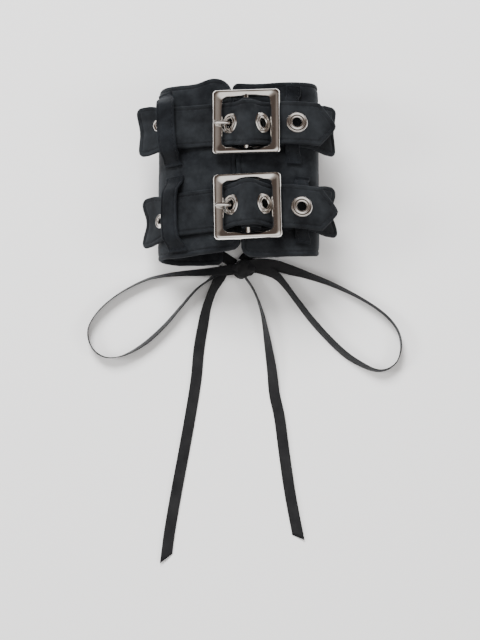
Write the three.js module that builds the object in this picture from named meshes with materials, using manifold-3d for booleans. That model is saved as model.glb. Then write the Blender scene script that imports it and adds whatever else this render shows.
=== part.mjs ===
// A laced and buckled cloth wrist cuff, lying on its back: x across, y along the wrist, z up, in mm.
import * as THREE from "three";
import { mergeVertices } from "three/addons/utils/BufferGeometryUtils.js";
import Module from "manifold-3d";

const wasm = await Module();
wasm.setup();

// Driving dimensions
const CUFF_WALL = 3.0;
const CORNERS = {
  left: { top: 7.0, bottom: 4.2, back: 3.2 },
  right: { top: 3.6, bottom: 4.6, back: 3.2 },
};
const FRONT_SLIT = { x: -0.9, slant: 0.056, gap: 0.4 };
const BACK_SLIT = { left: -7.3, right: 4.1 };

const STRAP = { thick: 2.0, thin: 1.8, width: 22.0 };
const BONE = { lobe: 1.9, lobeTo: 6.0, lobeFade: 17.0, corner: 3.0, reach: 8.0 };
const WAIST = { upper: 1.2, lower: 2.8 };
// How much shorter a bone end's lower side is than its upper side.
const BONE_SLANT = { upper: { left: 1.9, right: 0.9 }, lower: { left: 0.5, right: -1.1 } };
const TIP = { length: 10.0, round: 1.6, reach: 15.0 };

const FRAME = { x: 33.4, y: 33.0, side: 5.0, top: 3.7, thick: 3.0, corner: 2.0, innerCorner: 2.6 };
const BAR_RADIUS = 1.3;
const PRONG_RADIUS = 0.9;
const BUCKLE = { x: 4.5, height: 41.0, tilt: 5.0 };
// How much wider the straps are on each side where they lie over the bar, how far to the left and
// right of it that reaches, and the height above it at which it is all there.
const SWELL = { side: 0.7, reach: 6.0, rise: 3.0 };

const EYELET = { hole: 2.8, barrel: 3.2, flange: 4.85, rise: 0.45, rim: 0.2, cut: 3.5, sides: 12 };
const END_EYELET = { hole: 1.4, barrel: 1.95, flange: 3.5, rise: 0.5, rim: 0.2, cut: 2.25, sides: 9 };
const BACK_EYELET = { hole: 2.1, barrel: 2.4, flange: 3.5, rise: 0.35, rim: 0.15, cut: 2.7, sides: 8 };
const SEAT_GAP = 0.2;

const KEEPER = { thick: 1.2, gap: 0.5, width: { left: 9.6, right: 7.2 } };
const RIBBON = { width: 5.5, thick: 0.5 };

// The cuff's outer section, clockwise from the front slit as seen from the hand's end.
// Below the floor it is cut flat, and it bows up a little over the lacing.
const SECTION = [
  { x: -1.0, z: 35.0 }, { x: 14.0, z: 35.4 }, { x: 29.0, z: 34.0 }, { x: 37.6, z: 30.0 },
  { x: 40.0, z: 22.5 }, { x: 38.6, z: 13.6 }, { x: 34.5, z: 5.6 }, { x: 26.0, z: -0.4 },
  { x: 16.0, z: -0.2 }, { x: 10.0, z: 1.8 }, { x: 3.0, z: 2.4 }, { x: -6.0, z: 2.4 },
  { x: -13.0, z: 1.8 }, { x: -19.0, z: -0.2 }, { x: -29.0, z: -0.2 }, { x: -37.0, z: 4.8 },
  { x: -40.0, z: 12.6 }, { x: -38.2, z: 20.4 }, { x: -32.0, z: 27.0 }, { x: -23.5, z: 30.6 },
  { x: -13.0, z: 33.4 },
];

// Hem lines of each half: along is the distance from the front edge round the wrist.
const HEM_LEFT = [
  { along: 0, top: 44.6, bottom: -41.4 }, { along: 5, top: 45.3, bottom: -42.5 },
  { along: 11, top: 45.8, bottom: -43.3 },
  { along: 20, top: 44.2, bottom: -44.0 }, { along: 30, top: 44.3, bottom: -44.8 },
  { along: 42, top: 45.3, bottom: -43.6 }, { along: 54, top: 45.0, bottom: -42.5 },
  { along: 72, top: 44.0, bottom: -42.0 }, { along: 94, top: 44.0, bottom: -42.2 },
];
const HEM_RIGHT = [
  { along: 0, top: 43.4, bottom: -45.4 }, { along: 12, top: 42.8, bottom: -46.2 },
  { along: 24, top: 43.8, bottom: -45.6 }, { along: 36, top: 44.8, bottom: -44.8 },
  { along: 46, top: 46.2, bottom: -43.0 }, { along: 58, top: 46.8, bottom: -38.8 },
  { along: 72, top: 47.0, bottom: -36.0 }, { along: 94, top: 45.6, bottom: -38.6 },
];

// Stations across a half from its front edge, closer together where it is curved.
const PANEL_STATIONS = [0, 0.5, 1.6, 3.6, 7, 11, 16, 22, 28, 34, 39, 43.5, 48, 53, 58];
const PANEL_ROWS = 9;

// Where each half lies flat on the floor.
const REST = { left: { from: -28.0, to: -19.4 }, right: { from: 25.6, to: 16.4 } };

// The back eyelets' rows along the wrist, and the flat places beside the back slit they sit on.
const BACK_ROWS = [-33.5, -11.5, 11.5, 34.0];
const BACK_SEATS = { left: { from: -16.0, to: -8.6 }, right: { from: 12.8, to: 5.2 } };

// Middle line of each long strap from its bone end: across and up.
const TAIL_FRONT = [
  { x: -22.0, z: 32.5 }, { x: -16.0, z: 34.1 }, { x: -11.6, z: 34.9 }, { x: -9.0, z: 35.3 },
  { x: -6.8, z: 35.64 }, { x: -3.25, z: 39.5 }, { x: 0.3, z: 43.36 }, { x: 1.6, z: 44.8 },
  { x: 3.0, z: 46.2 }, { x: 4.8, z: 47.2 }, { x: 6.9, z: 47.5 },
];
const TAIL_BACK = {
  upper: [{ x: 8.6, z: 46.8 }, { x: 12.05, z: 43.0 }, { x: 15.5, z: 39.14 }, { x: 17.3, z: 38.95 }],
  lower: [{ x: 8.9, z: 46.6 }, { x: 12.4, z: 42.7 }, { x: 15.9, z: 38.9 }, { x: 17.6, z: 38.9 }],
};
const TAIL_TIP = [
  { x: 19.4, z: 39.2 }, { x: 21.6, z: 39.6 }, { x: 24.1, z: 40.5 }, { x: 29.3, z: 40.3 },
  { x: 34.6, z: 39.4 }, { x: 41.0, z: 37.5 }, { x: 48.7, z: 34.9 },
];
const TAIL_END = {
  upper: [
    { x: -50.2, z: 23.9 }, { x: -44.4, z: 26.8 }, { x: -39.4, z: 28.8 }, { x: -34.0, z: 30.3 },
    { x: -28.4, z: 31.4 },
  ],
  lower: [
    { x: -47.6, z: 14.6 }, { x: -43.8, z: 18.2 }, { x: -40.2, z: 21.6 }, { x: -36.9, z: 24.7 },
    { x: -33.0, z: 28.2 }, { x: -28.5, z: 30.5 },
  ],
};
// Where the long straps are flat under an eyelet, and the eyelet's share of the way along.
const TAIL_SEATS = {
  upper: [
    { from: -41.6, to: -34.6, share: 0.5 }, { from: -6.8, to: 0.3, share: 0.535 },
    { from: 8.6, to: 15.5, share: 0.465 }, { from: 24.1, to: 34.4, share: 0.5 },
  ],
  lower: [
    { from: -40.4, to: -34.9, share: 0.5 }, { from: -6.8, to: 0.3, share: 0.535 },
    { from: 8.9, to: 15.9, share: 0.455 }, { from: 25.6, to: 35.8, share: 0.5 },
  ],
};
// How far apart the long straps' stations are before each flat place, and after the last.
const TAIL_STEPS = [2.6, 7.6, 2.6, 3.2, 4.6];

// The short straps: a flap, round the centre bar, and out to the right.
const ANCHOR_WRAP = 2.65;
const ANCHOR_FLAP = [{ x: 10.8, z: 39.5 }, { x: 8.6, z: 41.1 }];
const ANCHOR_FRONT = [
  { x: 9.0, z: 37.1 }, { x: 14.0, z: 36.8 }, { x: 20.0, z: 36.5 }, { x: 26.0, z: 35.9 },
  { x: 31.0, z: 34.9 }, { x: 36.0, z: 33.2 }, { x: 40.5, z: 30.9 }, { x: 44.6, z: 28.4 },
  { x: 48.6, z: 25.4 },
];

// Each strap's middle line along the wrist.
const LINES = {
  tail_upper: [
    { x: -50, y: 20.2 }, { x: -30, y: 20.8 }, { x: -12.6, y: 20.9 }, { x: -7.6, y: 21.0 },
    { x: -3.6, y: 20.05 }, { x: 4.4, y: 18.5 }, { x: 10.4, y: 19.1 }, { x: 15.4, y: 20.35 },
    { x: 25, y: 20.6 }, { x: 50, y: 20.1 },
  ],
  tail_lower: [
    { x: -50, y: -24.5 }, { x: -12, y: -22.6 }, { x: -3, y: -21.4 }, { x: 5, y: -21.6 },
    { x: 12, y: -21.8 }, { x: 25, y: -22.0 }, { x: 50, y: -23.7 },
  ],
  anchor_upper: [{ x: 0, y: 20.8 }, { x: 25, y: 20.6 }, { x: 50, y: 19.8 }],
  anchor_lower: [{ x: 0, y: -22.1 }, { x: 25, y: -21.7 }, { x: 50, y: -21.6 }],
};
const BUCKLES = {
  upper: { x: 3.9, y: 20.8, turn: 0.1, prong: 20.0 },
  lower: { x: 4.5, y: -22.1, turn: 1.2, prong: -21.6 },
};
const END_EYELETS = { upper: 22.8, lower: -25.2 };

// Each keeper's middle line along the wrist. Rows with no height lie on the cuff; the others
// cross a strap, and slope is the fall across their width in degrees.
const KEEPERS = {
  left_upper: [
    { y: 41.4, x: -36.4 }, { y: 39.4, x: -36.4 }, { y: 36.2, x: -36.4, z: 29.0, slope: 28 },
    { y: 32.4, x: -36.3, z: 32.5, slope: 20 }, { y: 20.5, x: -35.9, z: 33.0, slope: 19 },
    { y: 9.2, x: -34.6, z: 32.9, slope: 20 }, { y: 6.6, x: -33.4, z: 30.8, slope: 26 },
    { y: 4.4, x: -32.4 }, { y: 1.8, x: -31.8 },
  ],
  left_lower: [
    { y: -3.4, x: -31.0 }, { y: -6.4, x: -31.3 }, { y: -9.0, x: -32.6, z: 30.0, slope: 33 },
    { y: -12.0, x: -33.8, z: 31.2, slope: 34 }, { y: -23.0, x: -34.2, z: 31.0, slope: 34 },
    { y: -35.2, x: -33.2, z: 31.3, slope: 33 }, { y: -37.6, x: -31.6, z: 30.8, slope: 30 },
    { y: -40.0, x: -29.9 }, { y: -42.2, x: -29.6 },
  ],
  right_upper: [
    { y: 41.4, x: 26.5 }, { y: 36.6, x: 26.5 }, { y: 34.2, x: 26.5, z: 36.7, slope: -9 },
    { y: 32.0, x: 26.5, z: 37.6, slope: -9.5 }, { y: 20.8, x: 26.5, z: 37.6, slope: -9.5 },
    { y: 9.4, x: 26.5, z: 37.6, slope: -9.5 }, { y: 7.2, x: 26.5, z: 36.7, slope: -9 },
    { y: 4.8, x: 26.5 }, { y: 0.8, x: 26.5 },
  ],
  right_lower: [
    { y: -5.4, x: 30.9 }, { y: -7.2, x: 30.9 }, { y: -8.5, x: 30.9, z: 36.0, slope: -16 },
    { y: -10.1, x: 31.0, z: 36.75, slope: -17 }, { y: -21.4, x: 31.0, z: 36.75, slope: -17 },
    { y: -32.8, x: 31.0, z: 36.75, slope: -17 }, { y: -34.6, x: 30.9, z: 36.0, slope: -16 },
    { y: -36.8, x: 30.9 }, { y: -39.4, x: 30.9 },
  ],
};

// Each free ribbon's route: lean is how far its face stands up from the floor, in degrees, and
// under is the height of its lower edge.
const LOOP_LEFT = [
  { x: -3.6, y: -44.5, lean: 22, under: 3.8 }, { x: -9.2, y: -45.1, lean: 28, under: 2.8 },
  { x: -18.7, y: -45.7, lean: 37, under: 1.0 }, { x: -29.2, y: -46.3, lean: 50, under: 0.4 },
  { x: -38.8, y: -47.6, lean: 60, under: 0.3 }, { x: -47.2, y: -49.9, lean: 66, under: 0.3 },
  { x: -59.4, y: -56.4, lean: 73, under: 0.3 }, { x: -68.6, y: -64.1, lean: 76, under: 0.3 },
  { x: -74.0, y: -71.9, lean: 80, under: 0.3 }, { x: -74.9, y: -78.5, lean: 84, under: 0.3 },
  { x: -72.2, y: -85.1, lean: 90, under: 0.3 }, { x: -67.0, y: -88.9, lean: 96, under: 0.3 },
  { x: -60.8, y: -89.3, lean: 102, under: 0.3 }, { x: -53.4, y: -86.6, lean: 112, under: 0.3 },
  { x: -45.0, y: -81.0, lean: 120, under: 0.3 }, { x: -36.3, y: -72.6, lean: 118, under: 0.3 },
  { x: -28.6, y: -63.4, lean: 113, under: 0.3 }, { x: -20.9, y: -54.4, lean: 110, under: 0.3 },
  { x: -14.4, y: -49.4, lean: 112, under: 0.3 }, { x: -10.9, y: -46.7, lean: 132, under: 1.0 },
  { x: -7.7, y: -45.0, lean: 174, under: 2.1 }, { x: -3.9, y: -44.4, lean: 176, under: 2.6 },
];
const LOOP_RIGHT = [
  { x: 7.9, y: -42.0, lean: 8, under: 3.6 }, { x: 13.0, y: -41.7, lean: 10, under: 3.5 },
  { x: 19.0, y: -42.5, lean: 22, under: 2.7 }, { x: 26.0, y: -44.5, lean: 38, under: 1.4 },
  { x: 34.0, y: -47.0, lean: 62, under: 0.5 }, { x: 48.0, y: -52.4, lean: 80, under: 0.3 },
  { x: 62.6, y: -60.0, lean: 90, under: 0.3 }, { x: 73.2, y: -67.6, lean: 91, under: 0.3 },
  { x: 79.3, y: -75.5, lean: 90, under: 0.3 }, { x: 80.9, y: -83.5, lean: 86, under: 0.3 },
  { x: 79.0, y: -90.7, lean: 88, under: 0.3 }, { x: 74.6, y: -94.9, lean: 88, under: 0.3 },
  { x: 68.8, y: -95.9, lean: 92, under: 0.3 }, { x: 61.6, y: -93.1, lean: 105, under: 0.3 },
  { x: 53.4, y: -87.8, lean: 113, under: 0.3 }, { x: 44.6, y: -79.3, lean: 114, under: 0.3 },
  { x: 36.3, y: -69.7, lean: 115, under: 0.3 }, { x: 28.9, y: -59.8, lean: 112, under: 0.3 },
  { x: 24.1, y: -53.1, lean: 114, under: 0.3 }, { x: 19.8, y: -47.9, lean: 124, under: 0.3 },
  { x: 15.4, y: -45.0, lean: 142, under: 0.3 }, { x: 8.6, y: -42.9, lean: 152, under: 0.3 },
];
const TAIL_LEFT = [
  { x: -6.7, y: -42.5, lean: 178, under: 0.3 }, { x: -8.5, y: -46.2, lean: 176, under: 0.3 },
  { x: -10.4, y: -50.1, lean: 148, under: 0.3 }, { x: -12.5, y: -54.3, lean: 134, under: 0.3 },
  { x: -14.3, y: -59.0, lean: 134, under: 0.3 }, { x: -16.0, y: -64.4, lean: 142, under: 0.3 },
  { x: -17.4, y: -71.2, lean: 158, under: 0.3 }, { x: -19.6, y: -84.6, lean: 172, under: 0.3 },
  { x: -21.0, y: -100.3, lean: 172, under: 0.3 }, { x: -23.9, y: -119.4, lean: 172, under: 0.3 },
  { x: -27.2, y: -138.6, lean: 172, under: 0.3 }, { x: -30.6, y: -157.7, lean: 172, under: 0.3 },
  { x: -33.6, y: -176.3, lean: 172, under: 0.3 }, { x: -35.1, y: -188.8, lean: 172, under: 0.3 },
];
const TAIL_RIGHT = [
  { x: 4.2, y: -49.5, lean: 88, under: 0.7 }, { x: 6.9, y: -53.5, lean: 88, under: 0.3 },
  { x: 9.5, y: -59.1, lean: 86, under: 0.3 }, { x: 12.3, y: -68.5, lean: 74, under: 0.3 },
  { x: 14.6, y: -81.6, lean: 52, under: 0.3 }, { x: 16.6, y: -94.9, lean: 30, under: 0.3 },
  { x: 17.9, y: -107.3, lean: 14, under: 0.3 }, { x: 20.4, y: -119.4, lean: 9, under: 0.3 },
  { x: 22.8, y: -138.6, lean: 8, under: 0.3 }, { x: 25.5, y: -157.7, lean: 8, under: 0.3 },
  { x: 29.3, y: -178.5, lean: 8, under: 0.3 },
];
const CUT_SLANT_LEFT = 5.5; // how far the left ribbon's slanting cut runs back
const CUT_SLANT_RIGHT = 3.7;
const LACE = {
  inside: 6.1, outside: 0.56, crossing: 0.8, hole: 3.3, turn: 0.7, dip: 0.2, narrow: 1.6, wide: 5.0,
  thick: 0.8,
};
// From the knot into the first eyelet, and out of the last one back to the knot.
const LACE_FROM = [
  { x: -1.6, y: -41.0, z: 0.9, wide: true }, { x: -4.9, y: -38.8, z: 0.6, wide: true },
  { x: -8.6, y: -36.2, z: 0.56, wide: true }, { x: -11.7, y: -33.9, z: 0.8, wide: false },
];
const LACE_TO = [
  { x: 8.5, y: -34.0, z: 0.8, wide: false }, { x: 5.4, y: -36.5, z: 0.56, wide: true },
  { x: 3.4, y: -37.4, z: 1.0, wide: true }, { x: 2.3, y: -39.5, z: 1.7, wide: true },
];
const KNOT = { x: 2.1, y: -44.6, z: 4.0, halfX: 5.4, halfY: 4.5, halfZ: 3.6 };

// Materials
const CLOTH = { color: 0x26282a, roughness: 0.85, metalness: 0 };
const STRAP_CLOTH = { color: 0x222426, roughness: 0.8, metalness: 0 };
const RIBBON_SATIN = { color: 0x242424, roughness: 0.55, metalness: 0 };
const NICKEL = { color: 0xd8d2c8, roughness: 0.2, metalness: 1 };

const radians = THREE.MathUtils.degToRad;
const group = new THREE.Group();

// Adds one named mesh with a material of its own.
function add(name, geometry, finish) {
  const mesh = new THREE.Mesh(geometry, new THREE.MeshStandardMaterial(finish));
  mesh.name = name;
  group.add(mesh);
  return mesh;
}

// Turns a closed triangle list the right way out.
function body(points, triangles) {
  let volume = 0;
  for (const [a, b, c] of triangles) {
    volume += points[a].dot(new THREE.Vector3().crossVectors(points[b], points[c]));
  }
  const order = volume < 0 ? [0, 2, 1] : [0, 1, 2];
  const geometry = new THREE.BufferGeometry();
  geometry.setAttribute("position", new THREE.Float32BufferAttribute(points.flatMap((p) => p.toArray()), 3));
  geometry.setIndex(triangles.flatMap((t) => order.map((i) => t[i])));
  return geometry;
}

// The two triangles of a four-cornered face.
const quad = (a, b, c, d) => [[a, b, c], [a, c, d]];

// A sheet of even thickness over a grid: place(i, j) gives its middle point and its normal.
function sheet(rows, columns, thick, place) {
  const points = [];
  for (const half of [thick / 2, -thick / 2]) {
    for (let i = 0; i < rows; i++) {
      for (let j = 0; j < columns; j++) {
        const { point, normal } = place(i, j);
        points.push(point.clone().addScaledVector(normal, half));
      }
    }
  }
  const at = (i, j, layer) => layer * rows * columns + i * columns + j;
  const triangles = [];
  for (let i = 0; i + 1 < rows; i++) {
    for (let j = 0; j + 1 < columns; j++) {
      triangles.push(...quad(at(i, j, 0), at(i + 1, j, 0), at(i + 1, j + 1, 0), at(i, j + 1, 0)));
      triangles.push(...quad(at(i, j, 1), at(i, j + 1, 1), at(i + 1, j + 1, 1), at(i + 1, j, 1)));
    }
    for (const [j, flip] of [[0, false], [columns - 1, true]]) {
      const ring = [at(i, j, 0), at(i, j, 1), at(i + 1, j, 1), at(i + 1, j, 0)];
      triangles.push(...quad(...(flip ? ring.reverse() : ring)));
    }
  }
  for (let j = 0; j + 1 < columns; j++) {
    for (const [i, flip] of [[0, true], [rows - 1, false]]) {
      const ring = [at(i, j, 0), at(i, j, 1), at(i, j + 1, 1), at(i, j + 1, 0)];
      triangles.push(...quad(...(flip ? ring.reverse() : ring)));
    }
  }
  return body(points, triangles);
}

// A strip whose stations are rings of points, closed at both ends.
function rings(stations) {
  const count = stations[0].length;
  const points = stations.flat();
  const triangles = [];
  for (let i = 0; i + 1 < stations.length; i++) {
    for (let k = 0; k < count; k++) {
      const next = (k + 1) % count;
      triangles.push(...quad(i * count + k, (i + 1) * count + k, (i + 1) * count + next, i * count + next));
    }
  }
  const last = (stations.length - 1) * count;
  for (let k = 1; k + 1 < count; k++) {
    triangles.push([0, k, k + 1]);
    triangles.push([last, last + k + 1, last + k]);
  }
  return body(points, triangles);
}

// Manifold solids, for cutting and joining only
function solid(geometry) {
  const bare = new THREE.BufferGeometry();
  bare.setAttribute("position", geometry.getAttribute("position").clone());
  if (geometry.index) bare.setIndex(geometry.index.clone());
  const merged = mergeVertices(bare, 1e-4);
  return new wasm.Manifold(new wasm.Mesh({
    numProp: 3,
    vertProperties: new Float32Array(merged.getAttribute("position").array),
    triVerts: new Uint32Array(merged.index.array),
  }));
}

function surface(manifold) {
  const mesh = manifold.getMesh();
  const geometry = new THREE.BufferGeometry();
  geometry.setAttribute("position", new THREE.Float32BufferAttribute(mesh.vertProperties, 3));
  geometry.setIndex(Array.from(mesh.triVerts));
  return geometry;
}

// Smooth curve through a table's rows, sampled by length.
function curveOf(rows, closed, steps) {
  const points = rows.map((r) => new THREE.Vector3(r.x, 0, r.z));
  const curve = new THREE.CatmullRomCurve3(points, closed, "catmullrom", 0.5);
  return curve.getPoints(steps);
}

// Lengths along a row of points, and lookup of the point and its direction at a length.
function measured(points) {
  const along = [0];
  for (let i = 1; i < points.length; i++) along.push(along[i - 1] + points[i].distanceTo(points[i - 1]));
  const at = (length) => {
    const wanted = THREE.MathUtils.clamp(length, 0, along.at(-1));
    let i = 1;
    while (i + 1 < along.length && along[i] < wanted) i++;
    const share = (wanted - along[i - 1]) / (along[i] - along[i - 1]);
    const direction = points[i].clone().sub(points[i - 1]).normalize();
    return { point: points[i - 1].clone().lerp(points[i], share), direction };
  };
  return { points, along, total: along.at(-1), at };
}

// Value of a table's column at a place in another column, on a smooth curve through the rows.
function read(rows, key, column, value) {
  const x = rows.map((r) => r[key]);
  const y = rows.map((r) => r[column]);
  const slope = x.map((_, i) => {
    const a = Math.max(0, i - 1);
    const b = Math.min(x.length - 1, i + 1);
    return (y[b] - y[a]) / (x[b] - x[a]);
  });
  let i = 0;
  while (i + 2 < x.length && value > x[i + 1]) i++;
  const span = x[i + 1] - x[i];
  const t = THREE.MathUtils.clamp((value - x[i]) / span, 0, 1);
  const [t2, t3] = [t * t, t * t * t];
  return (2 * t3 - 3 * t2 + 1) * y[i] + (t3 - 2 * t2 + t) * span * slope[i]
    + (3 * t2 - 2 * t3) * y[i + 1] + (t3 - t2) * span * slope[i + 1];
}

// The two halves of the cuff
const outline = measured(curveOf(SECTION, true, 420).map((p) => p.setZ(Math.max(p.z, 0))));

// Point and outward normal of the outer surface, at a length from the section's first point.
function outer(length) {
  const girth = outline.total;
  const { point } = outline.at(((length % girth) + girth) % girth);
  const ahead = outline.at((((length + 0.6) % girth) + girth) % girth).point;
  const behind = outline.at((((length - 0.6) % girth) + girth) % girth).point;
  const direction = ahead.sub(behind).normalize();
  return { point, normal: new THREE.Vector3(-direction.z, 0, direction.x) };
}

// Length at which the section's back reaches a given x.
function backLength(x) {
  const i = outline.points.findIndex((p, k) => k > 0 && p.z < 10 && p.x <= x && outline.points[k - 1].x > x);
  return outline.along[i];
}

// How far the edge is drawn in at a rounded corner.
function rounding(radius, inward) {
  return inward >= radius ? 0 : radius - Math.sqrt(Math.max(0, radius ** 2 - (radius - inward) ** 2));
}

// The right front edge stands up a little between the buckles, and the left top corner curls.
function lift(side, along, y) {
  const ridge = side > 0 ? 1.5 * Math.exp(-((along / 8) ** 2)) * Math.exp(-(((y - 0.4) / 5) ** 2)) : 0;
  const curl = side < 0 ? 1.3 * Math.exp(-(((along - 9) / 6) ** 2)) * Math.exp(-(((y - 46) / 6) ** 2)) : 0;
  return ridge + curl;
}

// Half a cuff, with its stations as lengths from the section's first point.
function cuffHalf(side, hem, corners, flats) {
  const turned = side > 0 ? 0 : outline.total;
  const back = backLength(side > 0 ? BACK_SLIT.right : BACK_SLIT.left) - turned;
  const edge = (y) => FRONT_SLIT.x - SECTION[0].x - FRONT_SLIT.slant * y + (side * FRONT_SLIT.gap) / 2;
  const full = Math.abs(back - edge(0));
  const seats = flats.flatMap(({ from, to }) => [from, to])
    .map((x) => Math.abs(backLength(x) - turned - edge(0)));
  const stations = [...PANEL_STATIONS.filter((s) => s < seats[0] - 2), ...seats, full - 0.6, full];
  const place = (i, j) => {
    const along = stations[i];
    const drawn = rounding(corners.back, full - along);
    const top = read(hem, "along", "top", along) - drawn - rounding(corners.top, along);
    const bottom = read(hem, "along", "bottom", along) + drawn + rounding(corners.bottom, along);
    const y = THREE.MathUtils.lerp(bottom, top, j / (PANEL_ROWS - 1));
    const start = edge(along < 40 ? y : 0);
    const near = Math.max(0, 1 - along / 40);
    const length = edge(0) + (start - edge(0)) * near + side * along;
    const { point, normal } = outer(length);
    const middle = point.clone().addScaledVector(normal, lift(side, along, y) - CUFF_WALL / 2);
    return { point: middle.setY(y), normal };
  };
  return sheet(stations.length, PANEL_ROWS, CUFF_WALL, place);
}

// Straps
// How far a bone end is cut back at a place across its width, from -1 to 1.
function boneCut(waist, slant) {
  return (across) => {
    const y = Math.abs(across) * (STRAP.width / 2 + BONE.lobe);
    const flat = STRAP.width / 2 + BONE.lobe - BONE.corner;
    const askew = (Math.abs(slant) - slant * across) / 2;
    if (y < flat) return askew + waist * Math.cos((Math.PI / 2) * (y / flat)) ** 2;
    return askew + rounding(BONE.corner, BONE.corner - (y - flat));
  };
}

// How far a pointed end is cut back.
const tipCut = (across) => Math.hypot(TIP.length * across, TIP.round) - TIP.round;

// How much wider than the strap a bone end is on each side.
const boneWidth = (along) => BONE.lobe * (1 - THREE.MathUtils.smoothstep(along, BONE.lobeTo, BONE.lobeFade));

const ACROSS = [-1, -0.88, -0.68, -0.36, 0, 0.36, 0.68, 0.88, 1];

// One under the buckle, fading to nothing on each side of it.
const underBuckle = (x, buckle) => THREE.MathUtils.clamp(1 - (Math.abs(x - buckle.x) - 11.6) / 9, 0, 1);

// A strap along a route. Each end is { cut, reach, bone }, and its shape fades out over its reach.
// Under the buckle it is askew by the same turn as the buckle.
function strap(route, line, stations, start, end, thick, buckle) {
  const place = (i, j) => {
    const across = ACROSS[j];
    const [before, after] = [stations[i], route.total - stations[i]];
    const length = before + start.cut(across) * Math.max(0, 1 - before / start.reach)
      - end.cut(across) * Math.max(0, 1 - after / end.reach);
    const { point } = route.at(length);
    const direction = route.at(length + 0.5).point.sub(route.at(length - 0.5).point).normalize();
    const above = THREE.MathUtils.clamp((point.z - BUCKLE.height) / SWELL.rise, 0, 1);
    const overBar = above * Math.max(0, 1 - ((point.x - buckle.x) / SWELL.reach) ** 2);
    const flare = (start.bone ? boneWidth(before) : 0) + (end.bone ? boneWidth(after) : 0)
      + SWELL.side * overBar;
    const y = read(line, "x", "y", point.x) + across * (STRAP.width / 2 + flare);
    point.x -= Math.tan(radians(buckle.turn)) * (y - buckle.y) * underBuckle(point.x, buckle);
    return { point: point.setY(y), normal: new THREE.Vector3(-direction.z, 0, direction.x) };
  };
  return sheet(stations.length, ACROSS.length, thick, place);
}

// Adds even steps to a list of stations, up to a length.
function fill(stations, to, step) {
  const from = stations.at(-1);
  const count = Math.max(1, Math.round((to - from) / step));
  for (let k = 1; k <= count; k++) stations.push(from + ((to - from) * k) / count);
}

const lengthAt = (route, x) => route.along[route.points.findIndex((p) => p.x >= x)];

// The place of a piece made about the z axis that sits on the flat part of a strap.
function seatOn(route, line, seat, buckle, fixed) {
  const [a, b] = [seat.from, seat.to].map((x) => route.at(lengthAt(route, x)).point);
  const middle = a.clone().lerp(b, seat.share);
  const y = fixed ?? read(line, "x", "y", middle.x);
  const turn = radians(buckle.turn) * underBuckle(middle.x, buckle);
  middle.x -= Math.tan(turn) * (y - buckle.y);
  return new THREE.Matrix4().makeRotationZ(turn)
    .multiply(new THREE.Matrix4().makeRotationY(-Math.atan2(b.z - a.z, b.x - a.x)))
    .setPosition(middle.x, y, middle.z);
}

// Eyelets
// A flanged ring about the z axis that grips a sheet of the given thickness.
function eyelet(size, grip) {
  const seat = grip / 2 + SEAT_GAP;
  const back = size.flange * 0.86;
  const profile = [
    [size.hole, -seat - size.rim], [back, -seat], [size.barrel, -seat], [size.barrel, seat],
    [size.flange, seat], [(size.flange + size.hole) / 2, seat + size.rise], [size.hole, seat + size.rim],
  ];
  const ring = [...profile, profile[0]].map(([r, z]) => new THREE.Vector2(r, z));
  const lathe = new THREE.LatheGeometry(ring, size.sides);
  lathe.rotateX(Math.PI / 2);
  return surface(outward(solid(lathe)));
}

// A manifold solid with its faces turned out, whichever way its profile ran.
function outward(manifold) {
  return manifold.volume() > 0 ? manifold : solid(flipped(surface(manifold)));
}

function flipped(geometry) {
  const index = Array.from(geometry.index.array);
  for (let i = 0; i < index.length; i += 3) [index[i], index[i + 1]] = [index[i + 1], index[i]];
  geometry.setIndex(index);
  return geometry;
}

// A round cutter about the z axis.
const punch = (size, matrix) => solid(new THREE.CylinderGeometry(size.cut, size.cut, 12, size.sides)
  .rotateX(Math.PI / 2).applyMatrix4(matrix));

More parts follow.
